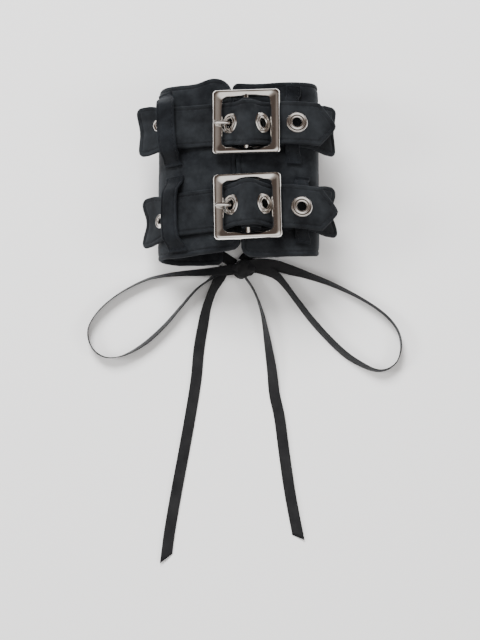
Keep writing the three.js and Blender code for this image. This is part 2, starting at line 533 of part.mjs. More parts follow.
const noCut = { cut: () => 0, reach: 1, bone: false };
for (const level of ["upper", "lower"]) {
  const line = LINES[`tail_${level}`];
  const buckle = BUCKLES[level];
  const shift = buckle.x - BUCKLE.x;
  const rows = [...TAIL_END[level], ...TAIL_FRONT, ...TAIL_BACK[level], ...TAIL_TIP]
    .map(({ x, z }) => ({ x: x + shift, z }));
  const tail = measured(curveOf(rows, false, 600));
  const seats = TAIL_SEATS[level]
    .map(({ from, to, share }) => ({ from: from + shift, to: to + shift, share }));
  const stations = [0, 2.2];
  seats.forEach(({ from, to }, i) => {
    fill(stations, lengthAt(tail, from), TAIL_STEPS[i]);
    stations.push(lengthAt(tail, to));
  });
  fill(stations, tail.total, TAIL_STEPS[seats.length]);
  const boneEnd = (slant) => ({ cut: boneCut(WAIST[level], slant), reach: BONE.reach, bone: true });
  const tip = { cut: tipCut, reach: TIP.reach, bone: false };
  let cut = solid(strap(tail, line, stations, boneEnd(BONE_SLANT[level].left), tip, STRAP.thick, buckle));
  seats.forEach((seat, i) => {
    const size = i === 0 ? END_EYELET : EYELET;
    const place = seatOn(tail, line, seat, buckle, i === 0 ? END_EYELETS[level] : undefined);
    cut = cut.subtract(punch(size, place));
    const name = i === 0 ? `end_eyelet_${level}` : `eyelet_${level}_${i}`;
    add(name, eyelet(size, STRAP.thick).applyMatrix4(place), NICKEL);
  });
  add(`strap_tail_${level}`, surface(cut), STRAP_CLOTH);

  // The short strap is slotted at its fold for the prong.
  const wrap = [55, 100, 145, 190, 235, 272].map((angle) => ({
    x: buckle.x + ANCHOR_WRAP * Math.cos(radians(angle)),
    z: BUCKLE.height + ANCHOR_WRAP * Math.sin(radians(angle)),
  }));
  const anchor = measured(curveOf([...ANCHOR_FLAP, ...wrap, ...ANCHOR_FRONT], false, 600));
  const anchorStations = [0];
  fill(anchorStations, anchor.along[anchor.points.findIndex((p) => p.x > 9 && p.z < 38)], 2.0);
  fill(anchorStations, anchor.total - 7.4, 6.4);
  fill(anchorStations, anchor.total - 2.2, 2.6);
  anchorStations.push(anchor.total);
  const anchorLine = LINES[`anchor_${level}`];
  const anchorEnd = boneEnd(BONE_SLANT[level].right);
  const whole = solid(strap(anchor, anchorLine, anchorStations, noCut, anchorEnd, STRAP.thin, buckle));
  const slot = new THREE.BoxGeometry(9.4, 3.2, 12)
    .translate(buckle.x - 0.7, buckle.prong, BUCKLE.height);
  add(`strap_anchor_${level}`, surface(whole.subtract(solid(slot))), STRAP_CLOTH);
}

// Buckles
// A square frame of half-round bars about the z axis, its flat side at z = 0.
function frame() {
  const corners = [[1, 1, 0], [-1, 1, 90], [-1, -1, 180], [1, -1, 270]];
  const stations = [];
  for (const [sx, sy, start] of corners) {
    for (let k = 0; k <= 3; k++) {
      const angle = radians(start + k * 30);
      const outerPoint = new THREE.Vector2(
        sx * (FRAME.x / 2 - FRAME.corner) + FRAME.corner * Math.cos(angle),
        sy * (FRAME.y / 2 - FRAME.corner) + FRAME.corner * Math.sin(angle),
      );
      const innerPoint = new THREE.Vector2(
        sx * (FRAME.x / 2 - FRAME.side - FRAME.innerCorner) + FRAME.innerCorner * Math.cos(angle),
        sy * (FRAME.y / 2 - FRAME.top - FRAME.innerCorner) + FRAME.innerCorner * Math.sin(angle),
      );
      const profile = [[0, 0], [0, 0.3], [0.22, 0.82], [0.5, 1], [0.78, 0.82], [1, 0.3], [1, 0]];
      stations.push(profile.map(([share, height]) => {
        const p = outerPoint.clone().lerp(innerPoint, share);
        return new THREE.Vector3(p.x, p.y, height * FRAME.thick);
      }));
    }
  }
  const count = stations[0].length;
  const triangles = [];
  stations.forEach((_, i) => {
    const j = (i + 1) % stations.length;
    for (let k = 0; k < count; k++) {
      const next = (k + 1) % count;
      triangles.push(...quad(i * count + k, j * count + k, j * count + next, i * count + next));
    }
  });
  return body(stations.flat(), triangles);
}

// The prong about the bar's axis: a ring round the bar, then a shaft to the left that comes up
// through the strap and rests on the frame.
const PRONG_SHAFT = [
  [-4.1, -1.95], [-6.3, -1.5], [-7.7, -0.45], [-9.0, 0.7], [-10.6, 1.3], [-12.4, 1.5], [-14.4, 1.6],
  [-15.8, 1.45],
];
function prong() {
  const radius = BAR_RADIUS + 0.3 + PRONG_RADIUS;
  const path = [160, 128, 96, 64, 32, 0, -32, -64, -96, -122].map(radians)
    .map((angle) => new THREE.Vector3(radius * Math.cos(angle), 0, radius * Math.sin(angle)));
  path.push(...PRONG_SHAFT.map(([x, z]) => new THREE.Vector3(x, 0, z)));
  const stations = path.map((p, i) => {
    const [before, after] = [path[Math.max(i - 1, 0)], path[Math.min(i + 1, path.length - 1)]];
    const direction = after.clone().sub(before).normalize();
    const up = new THREE.Vector3(-direction.z, 0, direction.x);
    const wide = i === path.length - 1 ? PRONG_RADIUS * 0.6 : PRONG_RADIUS;
    return Array.from({ length: 6 }, (_, k) => {
      const angle = radians(60 * k + 30);
      const across = new THREE.Vector3(0, wide * Math.sin(angle), 0);
      return p.clone().addScaledVector(up, wide * Math.cos(angle)).add(across);
    });
  });
  return rings(stations);
}

const bar = new THREE.CylinderGeometry(BAR_RADIUS, BAR_RADIUS, FRAME.y - FRAME.top, 10)
  .translate(0, 0, BAR_RADIUS);
const buckleShape = surface(solid(frame()).add(solid(bar)));
for (const [level, { x, y, turn, prong: prongY }] of Object.entries(BUCKLES)) {
  const about = new THREE.Quaternion().setFromAxisAngle(new THREE.Vector3(0, 0, 1), radians(turn));
  const tilted = about.clone()
    .multiply(new THREE.Quaternion().setFromAxisAngle(new THREE.Vector3(0, 1, 0), -radians(BUCKLE.tilt)));
  const axis = new THREE.Vector3(0, 0, BAR_RADIUS).applyQuaternion(tilted);
  const square = add(`buckle_${level}`, buckleShape.clone(), NICKEL);
  square.position.set(x, y, BUCKLE.height).sub(axis);
  square.quaternion.copy(tilted);
  const tongue = add(`prong_${level}`, prong(), NICKEL);
  tongue.position.set(x, prongY, BUCKLE.height);
  tongue.quaternion.copy(about);
}

// Keepers
// A keeper's left edge, middle and right edge where it lies on the cuff's front at x.
function laid({ x }, width) {
  const half = outline.points.length / 2;
  const i = outline.points.findIndex((p, k) => k > 0 && p.z > 20 && p.x >= x && k > half === x < 0);
  return [-1, 0, 1].map((side) => {
    const { point, normal } = outer(outline.along[i] + (side * width) / 2);
    return point.clone().addScaledVector(normal, KEEPER.gap + KEEPER.thick / 2);
  });
}

// The same three places where it crosses a strap.
function raised({ x, z, slope }, width) {
  const across = new THREE.Vector3(Math.cos(radians(slope)), 0, Math.sin(radians(slope)));
  return [-width / 2, 0, width / 2]
    .map((step) => new THREE.Vector3(x, 0, z).addScaledVector(across, step));
}

function keeper(rows, width) {
  const placed = rows
    .map((r) => {
      const [l, m, n] = r.z === undefined ? laid(r, width) : raised(r, width);
      return { y: r.y, lx: l.x, lz: l.z, mx: m.x, mz: m.z, rx: n.x, rz: n.z };
    })
    .sort((a, b) => a.y - b.y);
  const at = (y, c) => new THREE.Vector3(read(placed, "y", `${c}x`, y), y, read(placed, "y", `${c}z`, y));
  const [first, last] = [placed[0].y, placed.at(-1).y];
  const stops = placed.flatMap((r, i) => (i === 0 ? [r.y] : [(r.y + placed[i - 1].y) / 2, r.y]));
  const stations = stops.map((y) => {
    const direction = at(Math.min(last, y + 0.3), "m").sub(at(Math.max(first, y - 0.3), "m")).normalize();
    const up = at(y, "r").sub(at(y, "l")).cross(direction).normalize().multiplyScalar(KEEPER.thick / 2);
    const lower = up.clone().negate();
    return [["r", up], ["m", up], ["l", up], ["l", lower], ["m", lower], ["r", lower]]
      .map(([c, offset]) => at(y, c).add(offset));
  });
  return rings(stations);
}
for (const [place, rows] of Object.entries(KEEPERS)) {
  const width = KEEPER.width[place.split("_")[0]];
  add(`keeper_${place}`, keeper(rows, width), STRAP_CLOTH);
}

// The cuff's halves, pierced for the back eyelets
for (const [name, side, hem] of [["left", -1, HEM_LEFT], ["right", 1, HEM_RIGHT]]) {
  const seat = BACK_SEATS[name];
  let half = solid(cuffHalf(side, hem, CORNERS[name], [REST[name], seat]));
  const [a, b] = [seat.from, seat.to].map((x) => {
    const { point, normal } = outer(backLength(x));
    return point.clone().addScaledVector(normal, -CUFF_WALL / 2);
  });
  const middle = a.clone().lerp(b, 0.5);
  const turn = -Math.atan2((b.z - a.z) * Math.sign(b.x - a.x), Math.abs(b.x - a.x));
  BACK_ROWS.forEach((y, i) => {
    const place = new THREE.Matrix4().makeRotationY(turn).setPosition(middle.x, y, middle.z);
    half = half.subtract(punch(BACK_EYELET, place));
    const ring = eyelet(BACK_EYELET, CUFF_WALL).rotateX(Math.PI).applyMatrix4(place);
    add(`back_eyelet_${name}_${i + 1}`, ring, NICKEL);
  });
  add(`cuff_${name}`, surface(half), CLOTH);
}

// Ribbons
// A flat ribbon along a route; the cut end may slant.
function ribbon(rows, slant) {
  const lifted = rows.map((r) => {
    const lean = radians(r.lean);
    const rise = (RIBBON.width / 2) * Math.sin(lean) + (RIBBON.thick / 2) * Math.abs(Math.cos(lean));
    return { point: new THREE.Vector3(r.x, r.y, r.under + rise), lean: r.lean };
  });
  const curve = new THREE.CatmullRomCurve3(lifted.map((r) => r.point), false, "catmullrom", 0.5);
  const steps = (rows.length - 1) * 2;
  const stations = [];
  for (let i = 0; i <= steps; i++) {
    const t = i / steps;
    const point = curve.getPoint(t);
    const direction = curve.getTangent(t);
    const k = Math.min(rows.length - 2, Math.floor(t * (rows.length - 1)));
    const share = t * (rows.length - 1) - k;
    const lean = radians(THREE.MathUtils.lerp(rows[k].lean, rows[k + 1].lean, share));
    const level = new THREE.Vector3(0, 0, 1).cross(direction).normalize();
    const side = level.multiplyScalar(Math.cos(lean)).add(new THREE.Vector3(0, 0, Math.sin(lean)));
    side.addScaledVector(direction, -side.dot(direction)).normalize();
    const up = direction.clone().cross(side).normalize();
    const cut = i === steps ? slant : 0;
    const [w, h] = [RIBBON.width / 2, RIBBON.thick / 2];
    stations.push([[w, h], [-w, h], [-w, -h], [w, -h]].map(([a, b]) => point.clone()
      .addScaledVector(side, a).addScaledVector(up, b).addScaledVector(direction, (cut * a) / RIBBON.width)));
  }
  return rings(stations);
}
add("ribbon_loop_left", ribbon(LOOP_LEFT, 0), RIBBON_SATIN);
add("ribbon_loop_right", ribbon(LOOP_RIGHT, 0), RIBBON_SATIN);
add("ribbon_tail_left", ribbon(TAIL_LEFT, CUT_SLANT_LEFT), RIBBON_SATIN);
add("ribbon_tail_right", ribbon(TAIL_RIGHT, CUT_SLANT_RIGHT), RIBBON_SATIN);

const knot = new THREE.SphereGeometry(1, 10, 7);
knot.scale(KNOT.halfX, KNOT.halfY, KNOT.halfZ);
knot.translate(KNOT.x, KNOT.y, KNOT.z);
add("ribbon_knot", surface(outward(solid(knot))), RIBBON_SATIN);

// Lacing: one ribbon, gathered in the eyelets and flat between them
const hole = (side, row) => {
  const { from, to } = BACK_SEATS[side];
  return new THREE.Vector3((from + to) / 2, BACK_ROWS[row], LACE.hole);
};

// The stations of one flat strand from a to b, raised in the middle where it crosses another.
function strand(a, b, height, inward, crossing) {
  const heading = b.clone().sub(a).setZ(0).normalize();
  const side = new THREE.Vector3(-heading.y, heading.x, 0);
  const at = (from, step, z, wide) => {
    const point = from.clone().addScaledVector(heading, step).setZ(z);
    return { point, side, wide };
  };
  const middle = a.clone().lerp(b, 0.5);
  return [
    at(a, LACE.turn, height + inward, false), at(a, 4.6, height, true),
    at(middle, -4.4, height + crossing, true), at(middle, 4.4, height + crossing, true),
    at(b, -4.6, height, true), at(b, -LACE.turn, height + inward, false),
  ];
}

const visits = [
  ["left", 0], ["right", 1], ["left", 2], ["right", 3], ["left", 3], ["right", 2], ["left", 1], ["right", 0],
].map(([side, row]) => hole(side, row));
const lace = LACE_FROM.map(({ x, y, z, wide }) => ({ point: new THREE.Vector3(x, y, z), wide }));
visits.forEach((here, i) => {
  lace.push({ point: here, wide: false });
  if (i === visits.length - 1) return;
  const inside = i % 2 === 0;
  const crossing = i > 3 ? LACE.crossing : 0;
  const height = inside ? LACE.inside : LACE.outside;
  lace.push(...strand(here, visits[i + 1], height, inside ? -LACE.dip : LACE.dip, crossing));
});
lace.push(...LACE_TO.map(({ x, y, z, wide }) => ({ point: new THREE.Vector3(x, y, z), wide })));
const laceStations = lace.map(({ point, wide }, i) => {
  const [before, after] = [lace[Math.max(i - 1, 0)], lace[Math.min(i + 1, lace.length - 1)]];
  return { point, wide, direction: after.point.clone().sub(before.point).normalize() };
});
let previous = new THREE.Vector3(0, 1, 0);
add("lacing", rings(laceStations.map(({ point, wide, direction }, i) => {
  const level = lace[i].side ?? new THREE.Vector3(-direction.y, direction.x, 0).normalize();
  const side = level.clone().multiplyScalar(level.dot(previous) < 0 ? -1 : 1);
  side.addScaledVector(direction, -side.dot(direction)).normalize();
  previous = side;
  const up = direction.clone().cross(side).normalize();
  const [w, h] = wide ? [LACE.wide / 2, RIBBON.thick / 2] : [LACE.narrow / 2, LACE.thick / 2];
  return [[w, h], [-w, h], [-w, -h], [w, -h]]
    .map(([a, b]) => point.clone().addScaledVector(side, a).addScaledVector(up, b));
})), RIBBON_SATIN);

// The origin is under the middle of the cuff, straps and buckles, on the floor.
const settled = new THREE.Box3();
for (const mesh of group.children) {
  if (!mesh.name.startsWith("ribbon")) settled.expandByObject(mesh, true);
}
const under = settled.getCenter(new THREE.Vector3()).setZ(settled.min.z);
group.position.copy(under.negate());

export default group;
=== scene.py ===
import math

import bpy
import numpy as np
from mathutils import Matrix, Vector


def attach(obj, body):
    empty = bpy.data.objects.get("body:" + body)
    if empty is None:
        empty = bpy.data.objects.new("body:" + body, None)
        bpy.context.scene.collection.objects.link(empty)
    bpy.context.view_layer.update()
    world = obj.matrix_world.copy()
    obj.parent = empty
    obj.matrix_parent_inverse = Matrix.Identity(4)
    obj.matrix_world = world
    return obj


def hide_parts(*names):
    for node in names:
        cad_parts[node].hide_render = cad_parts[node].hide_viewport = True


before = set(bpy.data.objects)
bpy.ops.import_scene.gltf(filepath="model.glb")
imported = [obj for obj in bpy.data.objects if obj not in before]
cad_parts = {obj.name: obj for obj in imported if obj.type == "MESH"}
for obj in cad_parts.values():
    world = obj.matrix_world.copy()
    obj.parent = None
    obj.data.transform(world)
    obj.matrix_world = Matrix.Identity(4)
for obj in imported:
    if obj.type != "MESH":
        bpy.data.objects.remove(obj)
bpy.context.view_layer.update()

# The camera
# It looks down on the front of the cuff with a long lens from a metre away, 13 degrees off the
# vertical, so the near end of the wrist's opening is hidden under its hem.
looked_at = Vector((0.00181, -0.06985, 0.0))
camera_tilt = math.radians(13)


def add_object(name, data):
    """Puts a new object into the scene, at the origin."""
    thing = bpy.data.objects.new(name, data)
    bpy.context.collection.objects.link(thing)
    return thing


camera_data = bpy.data.cameras.new("photo_camera")
camera_data.sensor_fit = "VERTICAL"
camera_data.sensor_height = 36
camera_data.lens = 112.5
camera = add_object("photo_camera", camera_data)
camera.location = looked_at + Vector((0, -math.sin(camera_tilt), math.cos(camera_tilt)))
camera.rotation_euler = (camera_tilt, 0, 0)
bpy.context.scene.camera = camera

# The floor and the light
# A plain white table in a dim brown room. A broad pale light stands over the camera's side and is
# what the metal mirrors; a soft lamp beyond the cuff and a weaker one on each side give the shade.
floor_reach = 3
floor_height = -0.0001
cuff_middle = Vector((0, 0, 0.03))
room_brightness = 1.2


def new_finish(name):
    """A new material, with its nodes, its links and its shader."""
    finish = bpy.data.materials.new(name)
    finish.use_nodes = True
    tree = finish.node_tree
    return finish, tree.nodes, tree.links, tree.nodes["Principled BSDF"]


def set_inputs(node, values):
    """Gives a node's inputs the values listed under their names."""
    for socket, value in values.items():
        node.inputs[socket].default_value = value
    return node


def tone_ramp(nodes, rows):
    """A colour ramp through rows of a place on it and the colour there."""
    ramp = nodes.new("ShaderNodeValToRGB")
    stops = ramp.color_ramp.elements
    for stop, (place, colour) in zip(stops, (rows[0], rows[-1])):
        stop.position = place
        stop.color = (*colour, 1)
    for place, colour in rows[1:-1]:
        stops.new(place).color = (*colour, 1)
    return ramp


def soft_light(name, place, wide, watts):
    """A square area light of the given width, turned to face the cuff."""
    data = bpy.data.lights.new(name, "AREA")
    data.size = wide
    data.energy = watts
    light = add_object(name, data)
    light.location = place
    light.visible_glossy = False
    light.rotation_euler = (cuff_middle - Vector(place)).to_track_quat("-Z", "Y").to_euler()


floor_corners = [
    (x * floor_reach, y * floor_reach, floor_height) for x, y in ((-1, -1), (1, -1), (1, 1), (-1, 1))
]
floor_mesh = bpy.data.meshes.new("floor")
floor_mesh.from_pydata(floor_corners, [], [(0, 1, 2, 3)])
floor = add_object("floor", floor_mesh)
floor_paint, _, _, floor_shader = new_finish("floor_paint")
set_inputs(floor_shader, {"Base Color": (0.97, 0.97, 0.97, 1), "Roughness": 0.9, "Specular IOR Level": 0.1})
floor_mesh.materials.append(floor_paint)
soft_light("light_beyond", (-0.5, 1.3, 1.6), wide=1.1, watts=84)
soft_light("light_left", (-1.5, -0.1, 1.0), wide=0.5, watts=16)
soft_light("light_right", (1.5, -0.4, 1.1), wide=0.5, watts=10)
room = bpy.data.worlds.new("room")
bpy.context.scene.world = room
room.use_nodes = True
room_nodes = room.node_tree.nodes
room_links = room.node_tree.links
room_direction = room_nodes.new("ShaderNodeTexCoord")
room_toward_light = room_nodes.new("ShaderNodeVectorMath")
room_toward_light.operation = "DOT_PRODUCT"
room_toward_light.inputs[1].default_value = (0.12, -0.5, 0.857)
room_ramp = tone_ramp(room_nodes, [
    (0.0, (0.068, 0.053, 0.045)), (0.5, (0.075, 0.058, 0.049)), (0.7, (0.26, 0.228, 0.205)),
    (0.86, (0.96, 0.94, 0.92)), (1.0, (1, 0.98, 0.96)),
])
room_links.new(room_direction.outputs["Generated"], room_toward_light.inputs[0])
room_links.new(room_toward_light.outputs["Value"], room_ramp.inputs[0])
room_links.new(room_ramp.outputs[0], room_nodes["Background"].inputs["Color"])
room_nodes["Background"].inputs["Strength"].default_value = room_brightness

# The ribbon bow
# A 5.5 mm black satin ribbon comes out of the laced back and is tied by hand. Its two loops stand on
# edge and its two tails lie flat, all on the table in front of the cuff.
# Each row: across, along the wrist, lean of the face from flat in degrees, height of the lower edge.
RIBBON = {"width": 5.5, "route_thick": 0.5, "thick": 0.34, "rest": 0.2, "hollow": 0.18, "slant_reach": 9.0}
RIBBON_ACROSS = (-1, -0.985, -0.93, -0.8, -0.5, 0, 0.5, 0.8, 0.93, 0.985, 1)
RIBBON_STEPS = 9
LOOP_LEFT = [
    (-0.6, -44.3, 20, 4.0),
    (-3.6, -44.5, 22, 3.8), (-9.2, -45.1, 28, 2.8), (-18.7, -45.7, 37, 1.0), (-29.2, -46.3, 50, 0.4),
    (-38.8, -47.6, 60, 0.3), (-47.2, -49.9, 66, 0.3), (-59.4, -56.4, 73, 0.3), (-68.6, -64.1, 76, 0.3),
    (-74.0, -71.9, 80, 0.3), (-74.9, -78.5, 84, 0.3), (-72.2, -85.1, 90, 0.3), (-67.0, -88.9, 96, 0.3),
    (-60.8, -89.3, 102, 0.3), (-53.4, -86.6, 112, 0.3), (-45.0, -81.0, 120, 0.3), (-36.3, -72.6, 118, 0.3),
    (-28.6, -63.4, 113, 0.3), (-20.9, -54.4, 110, 0.3), (-14.4, -49.4, 112, 0.3), (-10.9, -46.7, 132, 1.0),
    (-7.7, -45.0, 174, 2.1), (-3.9, -44.4, 176, 2.6), (-0.6, -44.2, 176, 2.9),
]
LOOP_RIGHT = [
    (4.4, -42.6, 8, 3.6),
    (7.9, -42.0, 8, 3.6), (13.0, -41.7, 10, 3.5), (19.0, -42.5, 22, 2.7), (26.0, -44.5, 38, 1.4),
    (34.0, -47.0, 62, 0.5), (48.0, -52.4, 80, 0.3), (62.6, -60.0, 90, 0.3), (73.2, -67.6, 91, 0.3),
    (79.3, -75.5, 90, 0.3), (80.9, -83.5, 86, 0.3), (79.0, -90.7, 88, 0.3), (74.6, -94.9, 88, 0.3),
    (68.8, -95.9, 92, 0.3), (61.6, -93.1, 105, 0.3), (53.4, -87.8, 113, 0.3), (44.6, -79.3, 114, 0.3),
    (36.3, -69.7, 115, 0.3), (28.9, -59.8, 112, 0.3), (24.1, -53.1, 114, 0.3), (19.8, -47.9, 124, 0.3),
    (15.4, -45.0, 142, 0.3), (8.6, -42.9, 152, 0.3), (4.6, -43.2, 160, 0.8),
]
TAIL_LEFT = [
    (-6.7, -42.5, 178, 0.3), (-8.5, -46.2, 176, 0.3), (-10.4, -50.1, 148, 0.3), (-12.5, -54.3, 134, 0.3),
    (-14.3, -59.0, 134, 0.3), (-16.0, -64.4, 142, 0.3), (-17.4, -71.2, 158, 0.3), (-19.6, -84.6, 172, 0.3),
    (-21.0, -100.3, 172, 0.3), (-23.9, -119.4, 172, 0.3), (-27.2, -138.6, 172, 0.3),
    (-30.6, -157.7, 172, 0.3), (-33.6, -176.3, 172, 0.3), (-35.1, -188.8, 172, 0.3),
]
TAIL_RIGHT = [
    (2.4, -46.4, 88, 1.0),
    (4.2, -49.5, 88, 0.7), (6.9, -53.5, 88, 0.3), (9.5, -59.1, 86, 0.3), (12.3, -68.5, 74, 0.3),
    (14.6, -81.6, 52, 0.3), (16.6, -94.9, 30, 0.3), (17.9, -107.3, 14, 0.3), (20.4, -119.4, 9, 0.3),
    (22.8, -138.6, 8, 0.3), (25.5, -157.7, 8, 0.3), (29.3, -178.5, 8, 0.3),
]
KNOT = {"middle": (2.4, -44.4, 4.0), "half": (6.0, 4.6, 3.4), "rows": 33, "columns": 56}
WRAP = {"half_width": 2.0, "swell": 0.5, "shift": -0.6, "sway": 1.1, "out": 1.02, "around": 3.9, "steps": 73}
WRAP_ACROSS = (-1, -0.97, -0.85, -0.5, 0, 0.5, 0.85, 0.97, 1)
CENTRE_SHIFT = (0.9621, -0.3095, 0)


def metres(points):
    """Moves points from the cuff's own centre lines to the frame's origin, and from mm to metres."""
    return (np.asarray(points, float) + CENTRE_SHIFT) / 1000


def cubic(t, start, end, leaving, arriving):
    """A smooth step from a start to an end as t goes from nothing to one: cubics in t weigh the two
    values, and the slopes with which it leaves the one and arrives at the other."""
    return ((2 * t**3 - 3 * t**2 + 1) * start + (t**3 - 2 * t**2 + t) * leaving
            + (3 * t**2 - 2 * t**3) * end + (t**3 - t**2) * arriving)


def curve_through(rows, steps, closed=False):
    """Smooth curve through a table's rows: between two rows a cubic, whose slope at a row is half
    the way from the row before it to the row after it."""
    rows = np.asarray(rows, float)
    if closed:
        longer = np.vstack([rows[-1:], rows, rows[:2]])
    else:
        longer = np.vstack([2 * rows[0] - rows[1], rows, 2 * rows[-1] - rows[-2]])
    before, start, end, after = (longer[k:len(longer) - 3 + k, None] for k in range(4))
    t = np.linspace(0, 1, steps, endpoint=False)[None, :, None]
    points = cubic(t, start, end, (end - before) / 2, (after - start) / 2)
    return np.vstack([points.reshape(-1, rows.shape[1]), longer[-2]])


def unit(vectors):
    """Vectors of the same directions and of length one."""
    return vectors / np.linalg.norm(vectors, axis=-1, keepdims=True)


def lengths_along(points):
    """The length of a line of points up to each of them."""
    return np.concatenate([[0], np.cumsum(np.linalg.norm(np.diff(points, axis=0), axis=1))])


def around(sides):
    """Angles of a full turn in so many even steps."""
    return np.linspace(0, 2 * math.pi, sides, endpoint=False)


def border_of(grid):
    """The points round the border of a grid, each once."""
    return np.concatenate([grid[0], grid[1:, -1], grid[-1, -2::-1], grid[-2:0:-1, 0]])


def edge_distance(flat):
    """Distance of each point of a grid from the nearest stretch of its border, on the flat cloth."""
    border = border_of(flat)
    stretch = np.roll(border, -1, 0) - border
    away = flat.reshape(-1, 1, 2) - border
    share = np.clip((away * stretch).sum(2) / np.maximum((stretch**2).sum(1), 1e-9), 0, 1)
    return np.linalg.norm(away - share[..., None] * stretch, axis=2).min(1).reshape(flat.shape[:2])


def rounded(distance, radius):
    """Height of a round edge, from nothing at the border to one at the radius: a quarter circle."""
    return np.sqrt(1 - (1 - np.minimum(distance / radius, 1)) ** 2)


def make_piece(name, points, faces, flat, finish, replaced=()):
    """A smooth mesh piece with its flat pattern, in tenths of a metre, as its UV map."""
    mesh = bpy.data.meshes.new(name)
    mesh.from_pydata(metres(points).tolist(), [], [list(face) for face in faces])
    mesh.polygons.foreach_set("use_smooth", np.ones(len(mesh.polygons), bool))
    corners = np.empty(len(mesh.loops), np.int32)
    mesh.loops.foreach_get("vertex_index", corners)
    mesh.uv_layers.new(name="pattern").data.foreach_set("uv", (np.asarray(flat) / 100)[corners].ravel())
    mesh.materials.append(finish)
    piece = add_object(name, mesh)
    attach(piece, "root")
    if replaced:
        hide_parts(*replaced)
    return piece


def grid_quads(index):
    """The four-cornered faces of a grid of point numbers."""
    return np.stack([index[:-1, :-1], index[1:, :-1], index[1:, 1:], index[:-1, 1:]], -1).reshape(-1, 4)


def ring_numbers(rings, sides, first=0):
    """Point numbers of rings of points, with each ring's first point again at its end."""
    index = first + np.arange(rings * sides).reshape(rings, sides)
    return np.concatenate([index, index[:, :1]], 1)


def cloth_piece(name, middle, up, above, below, flat, finish, replaced=()):
    """A closed skin round a grid of points: one layer raised above it and one lowered below it
    along the normals, sharing the border, where both heights are nothing."""
    count = middle.shape[0] * middle.shape[1]
    top = np.arange(count).reshape(middle.shape[:2])
    inside = np.zeros(top.shape, bool)
    inside[1:-1, 1:-1] = True
    bottom = top.copy()
    bottom[inside] = count + np.arange(inside.sum())
    raised = (middle + up * above[..., None]).reshape(-1, 3)
    lowered = (middle - up * below[..., None])[inside]
    faces = np.concatenate([grid_quads(top), grid_quads(bottom)[:, ::-1]])
    pattern = np.concatenate([flat.reshape(-1, 2), flat[inside]])
    return make_piece(name, np.concatenate([raised, lowered]), faces, pattern, finish, replaced)


def noise_bump(nodes, links, coordinates, scale, strength, distance):
    """A bump node that raises the surface by a noise pattern."""
    noise = set_inputs(nodes.new("ShaderNodeTexNoise"), {"Scale": scale, "Detail": 3})
    bump = set_inputs(nodes.new("ShaderNodeBump"), {"Strength": strength, "Distance": distance})
    links.new(coordinates, noise.inputs["Vector"])
    links.new(noise.outputs["Fac"], bump.inputs["Height"])
    return bump


def woven_cloth(name, dark, light, rough, sheen, thread, slanted):
    """Black woven cloth: its colour drifts between two tones, and two sets of fine ridges, one
    thread apart, follow the cut of the cloth."""
    finish, nodes, links, shader = new_finish(name)
    set_inputs(shader, {
        "Roughness": rough, "Specular IOR Level": 0.14, "Sheen Weight": sheen, "Sheen Roughness": 0.45,
        "Sheen Tint": (0.75, 0.85, 1.0, 1),
    })
    place = nodes.new("ShaderNodeTexCoord")
    drift = set_inputs(nodes.new("ShaderNodeTexNoise"), {"Scale": 90, "Detail": 6, "Roughness": 0.65})
    tones = tone_ramp(nodes, [(0.32, dark), (0.7, light)])
    links.new(place.outputs["Object"], drift.inputs["Vector"])
    links.new(drift.outputs["Fac"], tones.inputs["Fac"])
    links.new(tones.outputs["Color"], shader.inputs["Base Color"])
    last = noise_bump(nodes, links, place.outputs["Object"], scale=260, strength=0.35, distance=0.0006)
    for direction in ("DIAGONAL" if slanted else "X", "Y"):
        ridges = nodes.new("ShaderNodeTexWave")
        ridges.wave_type = "BANDS"
        ridges.bands_direction = direction
        set_inputs(ridges, {"Scale": 31.4 / thread, "Distortion": 0.4, "Detail": 1})
        weave = set_inputs(nodes.new("ShaderNodeBump"), {"Strength": 0.35, "Distance": 0.00012})
        links.new(place.outputs["UV"], ridges.inputs["Vector"])
        links.new(ridges.outputs["Fac"], weave.inputs["Height"])
        links.new(last.outputs[0], weave.inputs["Normal"])
        last = weave
    links.new(last.outputs[0], shader.inputs["Normal"])
    return finish


def ribbon_piece(name, rows, slant, finish, node):
    """A flat ribbon along a route: its face leans by the table's angle about the route, it is a
    little hollow across, and its end may be cut on the slant. Also returns the route's points."""
    x, y, lean, under = np.array(rows, float).T
    rise = RIBBON["width"] / 2 * np.sin(np.radians(lean))
    rise += RIBBON["route_thick"] / 2 * np.abs(np.cos(np.radians(lean)))
    line = curve_through(np.stack([x, y, under + rise - RIBBON["rest"], lean], 1), RIBBON_STEPS)
    centre = line[:, :3]
    lean = np.radians(line[:, 3:])
    heading = unit(np.gradient(centre, axis=0))
    side = unit(np.cross((0, 0, 1), heading)) * np.cos(lean) + np.array((0, 0, 1)) * np.sin(lean)
    side = unit(side - heading * (side * heading).sum(1, keepdims=True))
    up = np.cross(heading, side)
    across = RIBBON["width"] / 2 * np.array(RIBBON_ACROSS)
    along = lengths_along(centre)
    ending = np.clip(1 - (along[-1] - along) / RIBBON["slant_reach"], 0, 1)[:, None] ** 1.5
    moved = slant * across / RIBBON["width"] * ending
    hollow = RIBBON["hollow"] * (1 - (2 * across / RIBBON["width"]) ** 2)
    middle = centre[:, None] + side[:, None] * across[:, None]
    middle = middle + heading[:, None] * moved[..., None] - up[:, None] * hollow[:, None]
    flat = np.stack([along[:, None] + moved, np.broadcast_to(across, moved.shape)], -1)
    flat[0, :, 0] = 0
    height = RIBBON["thick"] / 2 * rounded(edge_distance(flat), RIBBON["thick"] / 2)
    normals = np.broadcast_to(up[:, None], middle.shape)
    return cloth_piece(name, middle, normals, height, height, flat, finish, [node]), metres(centre)


